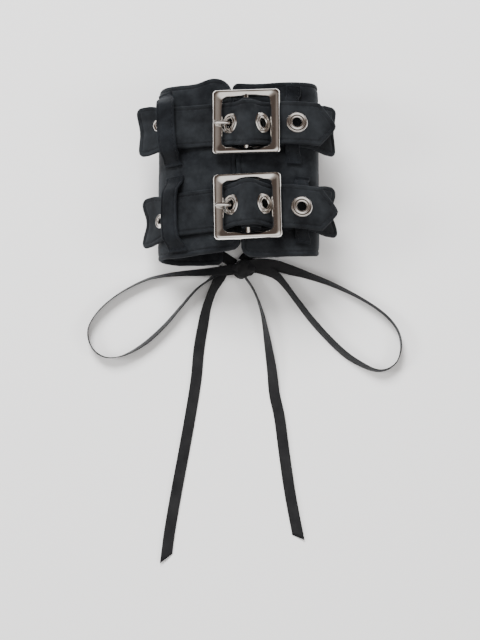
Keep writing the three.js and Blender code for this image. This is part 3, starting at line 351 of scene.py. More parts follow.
satin = woven_cloth("ribbon_satin", (0.012, 0.012, 0.013), (0.022, 0.022, 0.023),
                    rough=0.5, sheen=0.04, thread=0.3, slanted=False)
for name, rows, slant, length, far_end in [
    ("loop_left", LOOP_LEFT, 0, 0.187, "object"), ("loop_right", LOOP_RIGHT, 0, 0.199, "object"),
    ("tail_left", TAIL_LEFT, 5.5, 0.150, "bare"), ("tail_right", TAIL_RIGHT, 3.7, 0.136, "bare"),
]:
    piece, path = ribbon_piece(f"bow_{name}", rows, slant, satin, f"ribbon_{name}")


def knot_core():
    """A small lump of pulled ribbon: an ellipsoid about the x axis whose radius swells and
    shrinks in slanting folds. The rows run from pole to pole and the columns round it."""
    lat = np.linspace(-math.pi / 2, math.pi / 2, KNOT["rows"])[:, None]
    lon = around(KNOT["columns"])[None, :]
    folds = 1 + 0.12 * np.sin(3 * lon + 3.5 * lat) + 0.08 * np.sin(5 * lon - 4 * lat + 1)
    radius = np.cos(lat) * (0.86 + 0.10 * np.cos(2 * lat)) * folds
    ball = np.stack([np.sin(lat) + 0 * lon, radius * np.cos(lon), radius * np.sin(lon)], -1)
    return ball * KNOT["half"] + KNOT["middle"]


core = knot_core()
core_points = np.concatenate([core[0, :1], core[1:-1].reshape(-1, 3), core[-1, :1]])
core_rings = ring_numbers(KNOT["rows"] - 2, KNOT["columns"], 1)
core_faces = grid_quads(core_rings)[:, ::-1].tolist()
core_faces += [(0, after, before) for before, after in zip(core_rings[0], core_rings[0, 1:])]
last_point = len(core_points) - 1
core_faces += [(last_point, before, after) for before, after in zip(core_rings[-1], core_rings[-1, 1:])]
knot = make_piece("bow_knot", core_points, core_faces, core_points[:, :2], satin, ["ribbon_knot"])

# The wrap's middle line runs round the knot's x axis and sways along it; it bulges in its middle.
wrap_turn = np.linspace(0, 2 * math.pi, WRAP["steps"])[:, None]
wrap_across = np.array(WRAP_ACROSS)[None, :]
wrap_along = (WRAP["half_width"] + WRAP["swell"] * np.cos(wrap_turn)) * wrap_across
wrap_out = WRAP["out"] - 0.06 * wrap_across**2 + 0.04 * np.sin(4 * wrap_turn + 2 * wrap_across)
wrap_x = WRAP["shift"] + wrap_along + WRAP["sway"] * np.sin(wrap_turn + 0.6)
wrap_y = KNOT["half"][1] * wrap_out * np.cos(wrap_turn)
wrap_z = KNOT["half"][2] * wrap_out * np.sin(wrap_turn)
wrap = np.stack([wrap_x, wrap_y, wrap_z], -1) + KNOT["middle"]
wrap_up = unit(np.cross(np.gradient(wrap, axis=0), np.gradient(wrap, axis=1)))
wrap_flat = np.stack([wrap_turn * WRAP["around"] + 0 * wrap_across, wrap_along], -1)
wrap_height = RIBBON["thick"] / 2 * rounded(edge_distance(wrap_flat), RIBBON["thick"] / 2)
knot_wrap = cloth_piece("bow_knot_wrap", wrap, wrap_up, wrap_height, wrap_height, wrap_flat, satin)

# The padded halves of the cuff
# Two layers of black cotton with wadding between them, bagged out, turned and stitched round
# 2.4 mm inside the hem. They meet at the front and are bent round to the laced back.
# The section's rows are across and up, clockwise from the front slit; the hems' rows are the
# distance round the wrist from the front edge, the top hem and the bottom hem.
CUFF = {
    "wall": 3.0, "length": 88.0, "steps": (1.3, 1.5), "hem": 2.4, "grooves": (0.42, 0.3),
    "dents": 1.0, "stretch": 1.0, "fade": 6.0, "under": 0.0, "stitch": (2.9, 2.1, 0.17),
}
CUFF_SEEDS = {"left": 2.4, "right": 1.0}
CORNERS = {
    "left": {"top": 7.0, "bottom": 4.2, "back": 3.2},
    "right": {"top": 3.6, "bottom": 4.6, "back": 3.2},
}
FRONT_SLIT = {"x": -0.9, "slant": 0.056, "reach": 40.0}
# A soft fold that starts at the slit and falls to the right, and the left half's curled-up corner.
FRONT_FOLD = {"rise": 2.3, "reach": 9.0, "y": 0.8, "fall": 0.5, "width": 2.4}
HEM_CURL = {"rise": 1.3, "along": 9.0, "y": 46.0, "reach": 6.0}
SECTION = [
    (-1.0, 35.0), (14.0, 35.4), (29.0, 34.0), (37.6, 30.0), (40.0, 22.5), (38.6, 13.6), (34.5, 5.6),
    (26.0, -0.4), (16.0, -0.2), (10.0, 1.8), (3.0, 2.4), (-6.0, 2.4), (-13.0, 1.8), (-19.0, -0.2),
    (-29.0, -0.2), (-37.0, 4.8), (-40.0, 12.6), (-38.2, 20.4), (-32.0, 27.0), (-23.5, 30.6), (-13.0, 33.4),
]
HEMS = {
    "left": [
        (0, 44.6, -41.4), (5, 45.3, -42.5), (11, 45.8, -43.3), (20, 44.2, -44.0), (30, 44.3, -44.8),
        (42, 45.3, -43.6), (54, 45.0, -42.5), (72, 44.0, -42.0), (94, 44.0, -42.2),
    ],
    "right": [
        (0, 43.4, -45.4), (12, 42.8, -46.2), (24, 43.8, -45.6), (36, 44.5, -44.8), (46, 45.3, -43.0),
        (58, 46.2, -38.8), (72, 47.0, -36.0), (94, 45.6, -38.6),
    ],
}
SECTION_STEPS = 20
BACK_BELOW = 10
FRONT_ABOVE = 20
BACK_SLIT = {"left": -7.3, "right": 4.1}
BACK_ROWS = [-33.5, -11.5, 11.5, 34.0]
BACK_SEATS = {"left": (-16.0, -8.6), "right": (12.8, 5.2)}

section = curve_through(SECTION, SECTION_STEPS, closed=True)
section[:, 1] = np.maximum(section[:, 1], 0)
section_along = lengths_along(section)
girth = section_along[-1]
# How far from an edge a grid has its first lines: close enough for a round edge and a groove.
NEAR_EDGE = (0, 0.12, 0.35, 0.7, 1.1, 1.5, 1.85, 2.15, 2.4, 2.65, 2.95, 3.4, 4.2)
GROOVE_WIDTH = 0.38
SLOPE_REACH = {"cuff": 0.6, "strap": 0.5}
HOLES = {"back": 2.7, "end": 2.25, "strap": 3.5, "sides": 40, "reach": 6.0}
STITCH_SHARES = (0, 0.12, 0.35, 0.65, 0.88, 1)
STITCH_SWELL = (0.4, 0.85, 1, 1, 0.85, 0.4)
STITCH_SIDES = 6
STITCH_RISE = 0.9
STITCH_SUNK = 0.3
STITCH_SHORTEST = 0.05
STITCH_CLEAR = 0.96
HEM_SHAPE = {"band": 0.82, "swell": 0.18, "over": 2.5, "round": 0.8}


def at_length(line, along, length):
    """The place on a line of points at each length along it."""
    return np.stack([np.interp(length, along, column) for column in line.T], -1)


def in_space(flat, y=0):
    """Places or directions given across and up, as ones in space at a place along the wrist."""
    return np.stack([flat[..., 0], y + 0 * flat[..., 0], flat[..., 1]], -1)


def quarter_up(heading):
    """Headings across and up, turned a quarter to the left and given in space."""
    return in_space(np.stack([-heading[..., 1], heading[..., 0]], -1))


def bell(value, middle, reach):
    """A bell curve that is one at its middle."""
    return np.exp(-(((value - middle) / reach) ** 2))


def outer_face(length):
    """Point and outward normal of the cuff's outside, at a length round it from the front slit.
    Both have no part along the wrist. The normal stands on the line from just before to just after."""
    places = (length + reach for reach in (-SLOPE_REACH["cuff"], 0, SLOPE_REACH["cuff"]))
    before, point, after = (at_length(section, section_along, place % girth) for place in places)
    return in_space(point), quarter_up(unit(after - before))


def back_length(x):
    """Length round the cuff at which its back, on the table, reaches a place across."""
    on_back = (section[1:, 1] < BACK_BELOW) & (section[1:, 0] <= x) & (section[:-1, 0] > x)
    return section_along[1 + np.argmax(on_back)]


def smooth(at, places, values):
    """Smooth curve through a short table: a cubic between two rows, whose slope at a row is that
    of the line between the rows on each side of it."""
    places = np.asarray(places, float)
    values = np.asarray(values, float)
    near = np.arange(len(places))
    low = np.maximum(near - 1, 0)
    high = np.minimum(near + 1, len(places) - 1)
    slope = (values[high] - values[low]) / (places[high] - places[low])
    i = np.clip(np.searchsorted(places, at) - 1, 0, len(places) - 2)
    span = places[i + 1] - places[i]
    t = np.clip((at - places[i]) / span, 0, 1)
    return cubic(t, values[i], values[i + 1], span * slope[i], span * slope[i + 1])


def corner_cut(radius, inward):
    """How far the edge is drawn in at a round corner: a quarter circle."""
    return np.where(inward >= radius, 0, radius - np.sqrt(np.maximum(radius**2 - (radius - inward) ** 2, 0)))


def close_at_edges(total, step, edge=NEAR_EDGE):
    """Places from nothing to a length: close together near both ends and even between them."""
    edge = np.array(edge)
    count = max(3, int(round((total - 2 * edge[-1]) / step)))
    even = np.linspace(edge[-1], total - edge[-1], count + 1)
    return np.concatenate([edge[:-1], even, (total - edge[:-1])[::-1]])


def creases(along, y, seed):
    """Soft dents of worn padded cloth, in mm: slanting waves whose strength drifts over the piece."""
    drift = 0.5 + 0.5 * np.sin(along / 13 + seed) * np.cos(y / 11 - seed)
    waves = np.sin(along / 3.1 + y / 5.3 + 1.7 * seed) + 0.7 * np.sin(along / 5.7 - y / 3.7 + seed)
    return -0.16 * drift * (1 + waves / 1.7) + 0.05 * np.sin(along / 1.9 - y / 2.3) * drift


def cuff_half(side, name):
    """Grid of the half's middle surface and outward normals, and its flat pattern. Across the wrist
    it follows the section from the slanting front slit, and along the wrist it runs from hem to
    hem, drawn in at the four round corners."""
    hem_along, hem_top, hem_bottom = np.array(HEMS[name], float).T
    front = FRONT_SLIT["x"] - SECTION[0][0]
    full = abs(back_length(BACK_SLIT[name]) - (0 if side > 0 else girth) - front)
    along = close_at_edges(full, CUFF["steps"][0])[:, None]
    corners = CORNERS[name]
    drawn = corner_cut(corners["back"], full - along)
    top = smooth(along, hem_along, hem_top) - drawn - corner_cut(corners["top"], along)
    bottom = smooth(along, hem_along, hem_bottom) + drawn + corner_cut(corners["bottom"], along)
    share = close_at_edges(CUFF["length"], CUFF["steps"][1])[None, ::side] / CUFF["length"]
    y = bottom + (top - bottom) * share
    slant = -FRONT_SLIT["slant"] * y * np.maximum(0, 1 - along / FRONT_SLIT["reach"])
    point, up = outer_face(front + slant + side * along)
    if side > 0:
        lift = FRONT_FOLD["rise"] * bell(along, 0, FRONT_FOLD["reach"])
        lift = lift * bell(y + FRONT_FOLD["fall"] * along, FRONT_FOLD["y"], FRONT_FOLD["width"])
    else:
        lift = HEM_CURL["rise"] * bell(along, HEM_CURL["along"], HEM_CURL["reach"])
        lift = lift * bell(y, HEM_CURL["y"], HEM_CURL["reach"])
    middle = point + up * (lift - CUFF["wall"] / 2)[..., None]
    middle[..., 1] = y
    return middle, up, np.stack([along + 0 * y, y], -1)


def hem_profile(distance, half, hem, groove):
    """Height of stitched cloth over its middle: a round edge, a band to the stitching, a narrow
    groove there and a low swell inside it."""
    swell = HEM_SHAPE["band"] + HEM_SHAPE["swell"] * np.clip((distance - hem) / HEM_SHAPE["over"], 0, 1)
    edge = rounded(distance, HEM_SHAPE["round"] * half)
    return half * swell * edge - groove * bell(distance, hem, GROOVE_WIDTH)


def tube_faces(rings, sides):
    """Faces of a tube whose rings of points turn to the left along it, with a flat face on each end."""
    index = ring_numbers(rings, sides)
    return grid_quads(index)[:, ::-1].tolist() + [index[0, -2::-1].tolist(), index[-1, :-1].tolist()]


def faces_again(faces, count, size):
    """The same faces for each of a number of like shapes that have so many points."""
    return [[first + k for k in face] for first in range(0, count * size, size) for face in faces]


def prism(outline, low, high):
    """An outline's points at a lower and then at an upper height."""
    return np.concatenate([np.insert(outline, 2, height, axis=1) for height in (low, high)])


def placed(points, place):
    """Points turned and moved to a place."""
    return points @ np.array(place.to_3x3()).T + np.array(place.translation)


def cut_away(piece, points, faces):
    """Takes the space of closed shapes out of the piece."""
    mesh = bpy.data.meshes.new("cutter")
    mesh.from_pydata(metres(points).tolist(), [], faces)
    cutter = add_object("cutter", mesh)
    cut = piece.modifiers.new("cut", "BOOLEAN")
    cut.operation = "DIFFERENCE"
    cut.object = cutter
    cut.solver = "EXACT"
    finished = bpy.data.meshes.new_from_object(piece.evaluated_get(bpy.context.evaluated_depsgraph_get()))
    piece.modifiers.clear()
    piece.data = finished
    bpy.data.objects.remove(cutter)


def pierce(piece, places, kind):
    """Cuts a round hole through the piece at each place, along that place's z axis."""
    turn = around(HOLES["sides"])
    drum = HOLES[kind] * np.stack([np.cos(turn), np.sin(turn)], 1)
    drum = prism(drum, -HOLES["reach"], HOLES["reach"])
    faces = faces_again(tube_faces(2, HOLES["sides"]), len(places), len(drum))
    cut_away(piece, np.concatenate([placed(drum, place) for place in places]), faces)


def stitch_line(flat, inset, pitch, length):
    """Starts and ends, on the flat cloth, of even stitches along the border moved in by the inset.
    Points of the moved line that come nearer to the border than the inset are left out."""
    border = border_of(flat)
    border = border[np.linalg.norm(np.roll(border, -1, 0) - border, axis=1) > STITCH_SHORTEST]
    heading = unit(np.roll(border, -1, 0) - np.roll(border, 1, 0))
    x, y = border.T
    turning = np.sign(np.sum(x * np.roll(y, -1) - np.roll(x, -1) * y))
    moved = border + inset * turning * np.stack([-heading[:, 1], heading[:, 0]], 1)
    gap = np.linalg.norm(moved[:, None] - border[None], axis=2).min(1)
    moved = moved[gap > STITCH_CLEAR * inset]
    moved = np.vstack([moved, moved[:1]])
    along = lengths_along(moved)
    starts = np.arange(0, along[-1] - length, pitch)
    return at_length(moved, along, starts), at_length(moved, along, starts + length)


def on_cloth(flat, surface, wanted):
    """Places on a surface of points on its flat pattern: from the nearest grid point, along the
    surface's two directions there."""
    index = np.argmin(((flat.reshape(1, -1, 2) - wanted[:, None]) ** 2).sum(2), axis=1)
    flat_steps = np.stack([np.gradient(flat, axis=k).reshape(-1, 2)[index] for k in (0, 1)], 2)
    steps = np.stack([np.gradient(surface, axis=k).reshape(-1, 3)[index] for k in (0, 1)], 2)
    amounts = np.linalg.solve(flat_steps, (wanted - flat.reshape(-1, 2)[index])[..., None])
    return surface.reshape(-1, 3)[index] + (steps @ amounts)[..., 0], index


def sew(name, flat, surface, up, cloth):
    """A line of stitches on a face of a piece, all round it inside its border: each a short round
    thread that rises out of the cloth and goes back into it."""
    pitch, length, radius = cloth["stitch"]
    starts, ends = stitch_line(flat, cloth["hem"], pitch, length)
    starts, index = on_cloth(flat, surface, starts)
    ends, _ = on_cloth(flat, surface, ends)
    share = np.array(STITCH_SHARES)[None, :, None]
    heading = unit(ends - starts)[:, None]
    up = up.reshape(-1, 3)[index][:, None]
    side = unit(np.cross(up, heading))
    rise = radius * (STITCH_RISE * np.sin(math.pi * share) - STITCH_SUNK)
    centre = starts[:, None] + (ends - starts)[:, None] * share + up * rise
    thick = radius * np.array(STITCH_SWELL)[None, :, None, None]
    turn = around(STITCH_SIDES)[None, None, :, None]
    points = centre[:, :, None] + thick * (np.cos(turn) * side[:, :, None] + np.sin(turn) * up[:, :, None])
    points = points.reshape(-1, 3)
    rings = len(STITCH_SHARES)
    faces = faces_again(tube_faces(rings, STITCH_SIDES), len(starts), rings * STITCH_SIDES)
    make_piece(name, points, faces, points[:, :2], thread)


def stitched_piece(name, grid, cloth, thick, seed, finish, node, lines):
    """Cloth stitched inside its border, a little uneven between its stitches, which are sewn on
    its upper face and, where a second name is given, on its lower face too."""
    middle, up, flat = grid
    inward = edge_distance(flat)
    dents = cloth["dents"] * creases(flat[..., 0], flat[..., 1] * cloth["stretch"], seed)
    dents = dents * np.clip(inward / cloth["fade"], 0, 1)
    above, below = (hem_profile(inward, thick / 2, cloth["hem"], groove) for groove in cloth["grooves"])
    above = above + dents
    below = below + cloth["under"] * dents
    piece = cloth_piece(name, middle, up, above, below, flat, finish, [node])
    for line, height, outward in zip(lines, (above, -below), (up, -up)):
        sew(line, flat, middle + up * height[..., None], outward, cloth)
    return piece


def eyelet_place(point, turn_y, turn_z=0.0):
    """Where an eyelet sits: turned about the wrist's axis, then about the vertical."""
    return Matrix.Translation(point) @ Matrix.Rotation(turn_z, 4, "Z") @ Matrix.Rotation(turn_y, 4, "Y")


cuff_cloth = woven_cloth("cuff_cloth", (0.005, 0.0055, 0.0068), (0.021, 0.0235, 0.0265),
                         rough=0.72, sheen=0.06, thread=0.7, slanted=True)
thread = woven_cloth("thread", (0.005, 0.005, 0.006), (0.016, 0.016, 0.018),
                     rough=0.55, sheen=0.05, thread=0.2, slanted=True)
back_eyelet_places = {}
for side, name in ((-1, "left"), (1, "right")):
    lines = (f"cuff_stitches_{name}", f"cuff_stitches_inside_{name}")
    half = stitched_piece(f"cuff_pad_{name}", cuff_half(side, name), CUFF, CUFF["wall"], CUFF_SEEDS[name],
                          cuff_cloth, f"cuff_{name}", lines)
    point, outward = outer_face(np.array([back_length(x) for x in BACK_SEATS[name]]))
    ends = point - outward * CUFF["wall"] / 2
    centre = ends.mean(0)
    step = (ends[1] - ends[0]) * np.sign(ends[1, 0] - ends[0, 0])
    turn = -math.atan2(step[2], step[0])
    back_eyelet_places[name] = [eyelet_place((centre[0], y, centre[2]), turn) for y in BACK_ROWS]
    pierce(half, back_eyelet_places[name], "back")

# The straps
# Each belt is two straps of the same cloth on a stiff lining, stitched 2.2 mm inside their edges.
# The long one ends in a bone shape on the left and a point on the right; the short one is folded
# round the buckle's bar and ends in a bone shape on the right.
# Rows are across and up, in the order that the strap runs; the lines' rows are across and along.
STRAP = {
    "thick": 2.0, "thin": 1.8, "width": 22.0, "steps": (0.75, 1.4), "hem": 2.2, "grooves": (0.34, 0.22),
    "dents": 0.35, "stretch": 1.3, "fade": 4.0, "under": 0.5, "stitch": (2.9, 2.1, 0.17),
}
BONE = {"lobe": 1.9, "lobe_to": 6.0, "lobe_fade": 17.0, "corner": 3.0, "reach": 8.0}
TIP = {"length": 10.0, "round": 1.6, "reach": 15.0}
BUCKLE = {"x": 4.5, "height": 41.0, "tilt": 5.0, "half_inside": 11.6, "fade": 9.0}
SWELL = {"side": 0.7, "reach": 6.0, "rise": 3.0}
PRONG_SLOT = {"left": 5.4, "right": 4.0, "side": 1.6, "reach": 6.0}
BELTS = {
    "upper": {
        "x": 3.9, "y": 20.8, "turn": 0.1, "prong": 20.0, "waist": 1.2, "slants": (1.9, 0.9),
        "end_eyelet": 22.8, "seeds": (1.3, 3.1),
    },
    "lower": {
        "x": 4.5, "y": -22.1, "turn": 1.2, "prong": -21.6, "waist": 2.8, "slants": (0.5, -1.1),
        "end_eyelet": -25.2, "seeds": (2.3, 4.1),
    },
}
TAIL_END = {
    "upper": [(-50.2, 23.9), (-44.4, 26.8), (-39.4, 28.8), (-34.0, 30.3), (-28.4, 31.4)],
    "lower": [(-47.6, 14.6), (-43.8, 18.2), (-40.2, 21.6), (-36.9, 24.7), (-33.0, 28.2), (-28.5, 30.5)],
}
TAIL_FRONT = [
    (-22.0, 32.5), (-16.0, 34.1), (-11.6, 34.9), (-9.0, 35.3), (-6.8, 35.64), (-3.25, 39.5), (0.3, 43.36),
    (1.6, 44.8), (3.0, 46.2), (4.8, 47.2), (6.9, 47.5),
]
TAIL_BACK = {
    "upper": [(8.6, 46.8), (12.05, 43.0), (15.5, 39.14), (17.3, 38.95)],
    "lower": [(8.9, 46.6), (12.4, 42.7), (15.9, 38.9), (17.6, 38.9)],
}
TAIL_TIP = [(19.4, 39.2), (21.6, 39.6), (24.1, 40.5), (29.3, 40.3), (34.6, 39.4), (41.0, 37.5), (48.7, 34.9)]
TAIL_SEATS = {
    "upper": [(-41.6, -34.6, 0.5), (-6.8, 0.3, 0.535), (8.6, 15.5, 0.465), (24.1, 34.4, 0.5)],
    "lower": [(-40.4, -34.9, 0.5), (-6.8, 0.3, 0.535), (8.9, 15.9, 0.455), (25.6, 35.8, 0.5)],
}
ROUTE_STEPS = 24
ANCHOR_WRAP = {"radius": 2.65, "turns": (55, 100, 145, 190, 235, 272)}
ANCHOR_FLAP = [(10.8, 39.5), (8.6, 41.1)]
ANCHOR_FRONT = [
    (9.0, 37.1), (14.0, 36.8), (20.0, 36.5), (26.0, 35.9), (31.0, 34.9), (36.0, 33.2), (40.5, 30.9),
    (44.6, 28.4), (48.6, 25.4),
]
LINES = {
    "tail_upper": [
        (-50, 20.2), (-30, 20.8), (-12.6, 20.9), (-7.6, 21.0), (-3.6, 20.05), (4.4, 18.5), (10.4, 19.1),
        (15.4, 20.35), (25, 20.6), (50, 20.1),
    ],
    "tail_lower": [
        (-50, -24.5), (-12, -22.6), (-3, -21.4), (5, -21.6), (12, -21.8), (25, -22.0), (50, -23.7),
    ],
    "anchor_upper": [(0, 20.8), (25, 20.6), (50, 19.8)],
    "anchor_lower": [(0, -22.1), (25, -21.7), (50, -21.6)],
}


def bone_cut(waist, slant):
    """How far a bone end is cut back across its width: a round corner on each side of a hollow, and
    one side shorter than the other by the slant."""
    def cut(across):
        askew = (abs(slant) - slant * across) / 2
        y = np.abs(across) * (STRAP["width"] / 2 + BONE["lobe"])
        straight = STRAP["width"] / 2 + BONE["lobe"] - BONE["corner"]
        hollow = waist * np.cos(math.pi / 2 * np.minimum(y / straight, 1)) ** 2
        rounding = corner_cut(BONE["corner"], BONE["corner"] - (y - straight))
        return askew + np.where(y < straight, hollow, rounding)
    return cut


def tip_cut(across):
    """How far a pointed end is cut back: two straight sides with a round between them."""
    return np.hypot(TIP["length"] * across, TIP["round"]) - TIP["round"]


def bone_flare(from_end):
    """How much wider a bone end is on each side: all of its lobe at first, then less, in a smooth step."""
    share = np.clip((from_end - BONE["lobe_to"]) / (BONE["lobe_fade"] - BONE["lobe_to"]), 0, 1)
    return BONE["lobe"] * (1 - share**2 * (3 - 2 * share))


def near_buckle(x, belt):
    """One under the buckle, falling to nothing on each side of it."""
    return np.clip(1 - (np.abs(x - belt["x"]) - BUCKLE["half_inside"]) / BUCKLE["fade"], 0, 1)


def flattened(route, seats):
    """The route with a straight stretch under each eyelet."""
    for start, end, _ in seats:
        low, high = (int(np.argmax(route[:, 0] >= x)) for x in (start, end))
        share = (route[low:high, 0] - route[low, 0]) / (route[high, 0] - route[low, 0])
        route[low:high, 1] = route[low, 1] + share * (route[high, 1] - route[low, 1])
    return route


def strap_grid(route, line, belt, start, end):
    """Grid of a strap's middle surface, its normals and its flat pattern. The strap follows the
    route; its ends are cut back to their shapes, its bone ends flare, it is a little wider over the
    bar, and under the buckle it is askew by the buckle's turn. Each end gives its cut, how far back
    the cut is felt and whether it is a bone."""
    line_x, line_y = np.array(line, float).T
    along = lengths_along(route)
    before = close_at_edges(along[-1], STRAP["steps"][0])[:, None]
    half = STRAP["width"] / 2
    share = close_at_edges(STRAP["width"], STRAP["steps"][1])[None, :] / half - 1
    length, flare = before, 0
    for (cut, reach, bone), from_end, way in ((start, before, 1), (end, along[-1] - before, -1)):
        length = length + way * cut(share) * np.maximum(0, 1 - from_end / reach)
        flare = flare + (bone_flare(from_end) if bone else 0)
    point = at_length(route, along, length)
    before, after = (at_length(route, along, length + reach * SLOPE_REACH["strap"]) for reach in (-1, 1))
    above_bar = np.clip((point[..., 1] - BUCKLE["height"]) / SWELL["rise"], 0, 1)
    over_bar = above_bar * np.maximum(0, 1 - ((point[..., 0] - belt["x"]) / SWELL["reach"]) ** 2)
    offset = share * (half + flare + SWELL["side"] * over_bar)
    y = smooth(point[..., 0], line_x, line_y) + offset
    askew = math.tan(math.radians(belt["turn"])) * (y - belt["y"]) * near_buckle(point[..., 0], belt)
    grid = np.stack([point[..., 0] - askew, y, point[..., 1]], -1)
    return grid, quarter_up(unit(after - before)), np.stack([length, offset], -1)


strap_cloth = woven_cloth("strap_cloth", (0.006, 0.0065, 0.0075), (0.021, 0.0235, 0.0265),
                          rough=0.7, sheen=0.07, thread=0.6, slanted=True)
strap_eyelets = {}
for level, belt in BELTS.items():
    bones = [(bone_cut(belt["waist"], slant), BONE["reach"], True) for slant in belt["slants"]]
    shift = belt["x"] - BUCKLE["x"]
    seats = [(start + shift, end + shift, share) for start, end, share in TAIL_SEATS[level]]
    rows = [(x + shift, z) for x, z in TAIL_END[level] + TAIL_FRONT + TAIL_BACK[level] + TAIL_TIP]
    route = flattened(curve_through(rows, ROUTE_STEPS), seats)
    line = LINES[f"tail_{level}"]
    grid = strap_grid(route, line, belt, bones[0], (tip_cut, TIP["reach"], False))
    name = f"strap_long_{level}"
    tail = stitched_piece(name, grid, STRAP, STRAP["thick"], belt["seeds"][0], strap_cloth,
                          f"strap_tail_{level}", (f"{name}_stitches", f"{name}_stitches_under"))
    places = []
    for k, (start, end, share) in enumerate(seats):
        low, high = (route[int(np.argmax(route[:, 0] >= x))] for x in (start, end))
        x, z = low + share * (high - low)
        y = belt["end_eyelet"] if k == 0 else float(smooth(x, *np.array(line, float).T))
        turn = math.radians(belt["turn"]) * float(near_buckle(x, belt))
        x = x - math.tan(turn) * (y - belt["y"])
        slope = -math.atan2(high[1] - low[1], high[0] - low[0])
        places.append(eyelet_place((x, y, z), slope, turn))
    strap_eyelets[level] = places
    pierce(tail, places[:1], "end")
    pierce(tail, places[1:], "strap")

    turns = np.radians(ANCHOR_WRAP["turns"])
    fold = ANCHOR_WRAP["radius"] * np.stack([np.cos(turns), np.sin(turns)], 1) + (belt["x"], BUCKLE["height"])
    route = curve_through(np.vstack([ANCHOR_FLAP, fold, ANCHOR_FRONT]), ROUTE_STEPS)
    grid = strap_grid(route, LINES[f"anchor_{level}"], belt, (np.zeros_like, 1, False), bones[1])
    name = f"strap_short_{level}"
    anchor = stitched_piece(name, grid, STRAP, STRAP["thin"], belt["seeds"][1], strap_cloth,
                            f"strap_anchor_{level}", (f"{name}_stitches", f"{name}_stitches_under"))
    left, right = (belt["x"] + x for x in (-PRONG_SLOT["left"], PRONG_SLOT["right"]))
    low, high = (belt["prong"] + y for y in (-PRONG_SLOT["side"], PRONG_SLOT["side"]))
    bottom, top = (BUCKLE["height"] + z for z in (-PRONG_SLOT["reach"], PRONG_SLOT["reach"]))
    outline = np.array([(left, low), (right, low), (right, high), (left, high)])
    cut_away(anchor, prism(outline, bottom, top), tube_faces(2, 4))

# The keepers
# Four loops of doubled cloth, sewn to the cuff at both ends. The left ones, 9.6 mm wide, hold the
# long straps' bone ends down; the right ones, 7.2 mm wide, lie under the pointed ends.
# Rows: along the wrist, across, and where it crosses a strap the height and the fall in degrees.
KEEPER = {
    "thick": 1.2, "gap": 0.5, "width": {"left": 9.6, "right": 7.2}, "steps": (0.6, 0.8), "hem": 1.3,
    "grooves": (0.2, 0.2), "dents": 0.22, "stretch": 1.0, "fade": 3.0, "under": 0.0,
    "stitch": (2.3, 1.6, 0.15),
}
KEEPER_NEAR_EDGE = (0, 0.1, 0.3, 0.6, 0.9, 1.1, 1.3, 1.5, 1.75, 2.2)
KEEPERS = {
    "left_upper": [
        (41.4, -36.4), (39.4, -36.4), (36.2, -36.4, 29.0, 28), (32.4, -36.3, 32.5, 20),
        (20.5, -35.9, 33.0, 19), (9.2, -34.6, 32.9, 20), (6.6, -33.4, 30.8, 26), (4.4, -32.4), (1.8, -31.8),
    ],
    "left_lower": [
        (-3.4, -31.0), (-6.4, -31.3), (-9.0, -32.6, 30.0, 33), (-12.0, -33.8, 31.2, 34),
        (-23.0, -34.2, 31.0, 34), (-35.2, -33.2, 31.3, 33), (-37.6, -31.6, 30.8, 30), (-40.0, -29.9),
        (-42.2, -29.6),
    ],
    "right_upper": [
        (41.4, 26.5), (36.6, 26.5), (34.2, 26.5, 36.7, -9), (32.0, 26.5, 37.6, -9.5),
        (20.8, 26.5, 37.6, -9.5), (9.4, 26.5, 37.6, -9.5), (7.2, 26.5, 36.7, -9), (4.8, 26.5), (0.8, 26.5),
    ],
    "right_lower": [
        (-5.4, 30.9), (-7.2, 30.9), (-8.5, 30.9, 36.0, -16), (-10.1, 31.0, 36.75, -17),
        (-21.4, 31.0, 36.75, -17), (-32.8, 31.0, 36.75, -17), (-34.6, 30.9, 36.0, -16), (-36.8, 30.9),
        (-39.4, 30.9),
    ],
}


def laid(width, x):
    """Left edge, middle and right edge of a keeper where it lies on the cuff's front."""
    wanted = (section[:, 1] > FRONT_ABOVE) & (section[:, 0] >= x) & (np.arange(len(section)) > 0)
    wanted &= (np.arange(len(section)) > len(section) / 2) == (x < 0)
    length = section_along[int(np.argmax(wanted))] + width / 2 * np.array([-1, 0, 1])
    point, up = outer_face(length)
    return (point + up * (KEEPER["gap"] + KEEPER["thick"] / 2))[:, [0, 2]]


def raised(width, x, z, slope):
    """The same three places where it crosses a strap."""
    across = np.array([math.cos(math.radians(slope)), math.sin(math.radians(slope))])
    return np.array((x, z)) + width / 2 * np.array([[-1], [0], [1]]) * across


def keeper_grid(rows, width):
    """Grid of a keeper: smooth curves through the three places of each row, and a parabola
    through them across it. Its normals point away from the cuff."""
    rows = sorted(rows)
    ys = np.array([row[0] for row in rows])
    places = np.array([laid(width, row[1]) if len(row) == 2 else raised(width, *row[1:]) for row in rows])
    y = (ys[0] + close_at_edges(ys[-1] - ys[0], KEEPER["steps"][0]))[:, None]
    left, middle, right = (
        np.stack([smooth(y, ys, places[:, k, axis]) for axis in (0, 1)], -1) for k in range(3))
    share = close_at_edges(width, KEEPER["steps"][1], KEEPER_NEAR_EDGE) / width * 2 - 1
    share = share[None, ::-1, None]
    point = left * share * (share - 1) / 2 + middle * (1 - share**2) + right * share * (share + 1) / 2
    grid = in_space(point, y)
    along = lengths_along(grid[:, (grid.shape[1] - 1) // 2])
    flat = np.stack(np.broadcast_arrays(along[:, None], share[..., 0] * width / 2), -1)
    up = unit(np.cross(np.gradient(grid, axis=0), np.gradient(grid, axis=1)))
    return grid, up if up[up.shape[0] // 2, up.shape[1] // 2, 2] > 0 else -up, flat


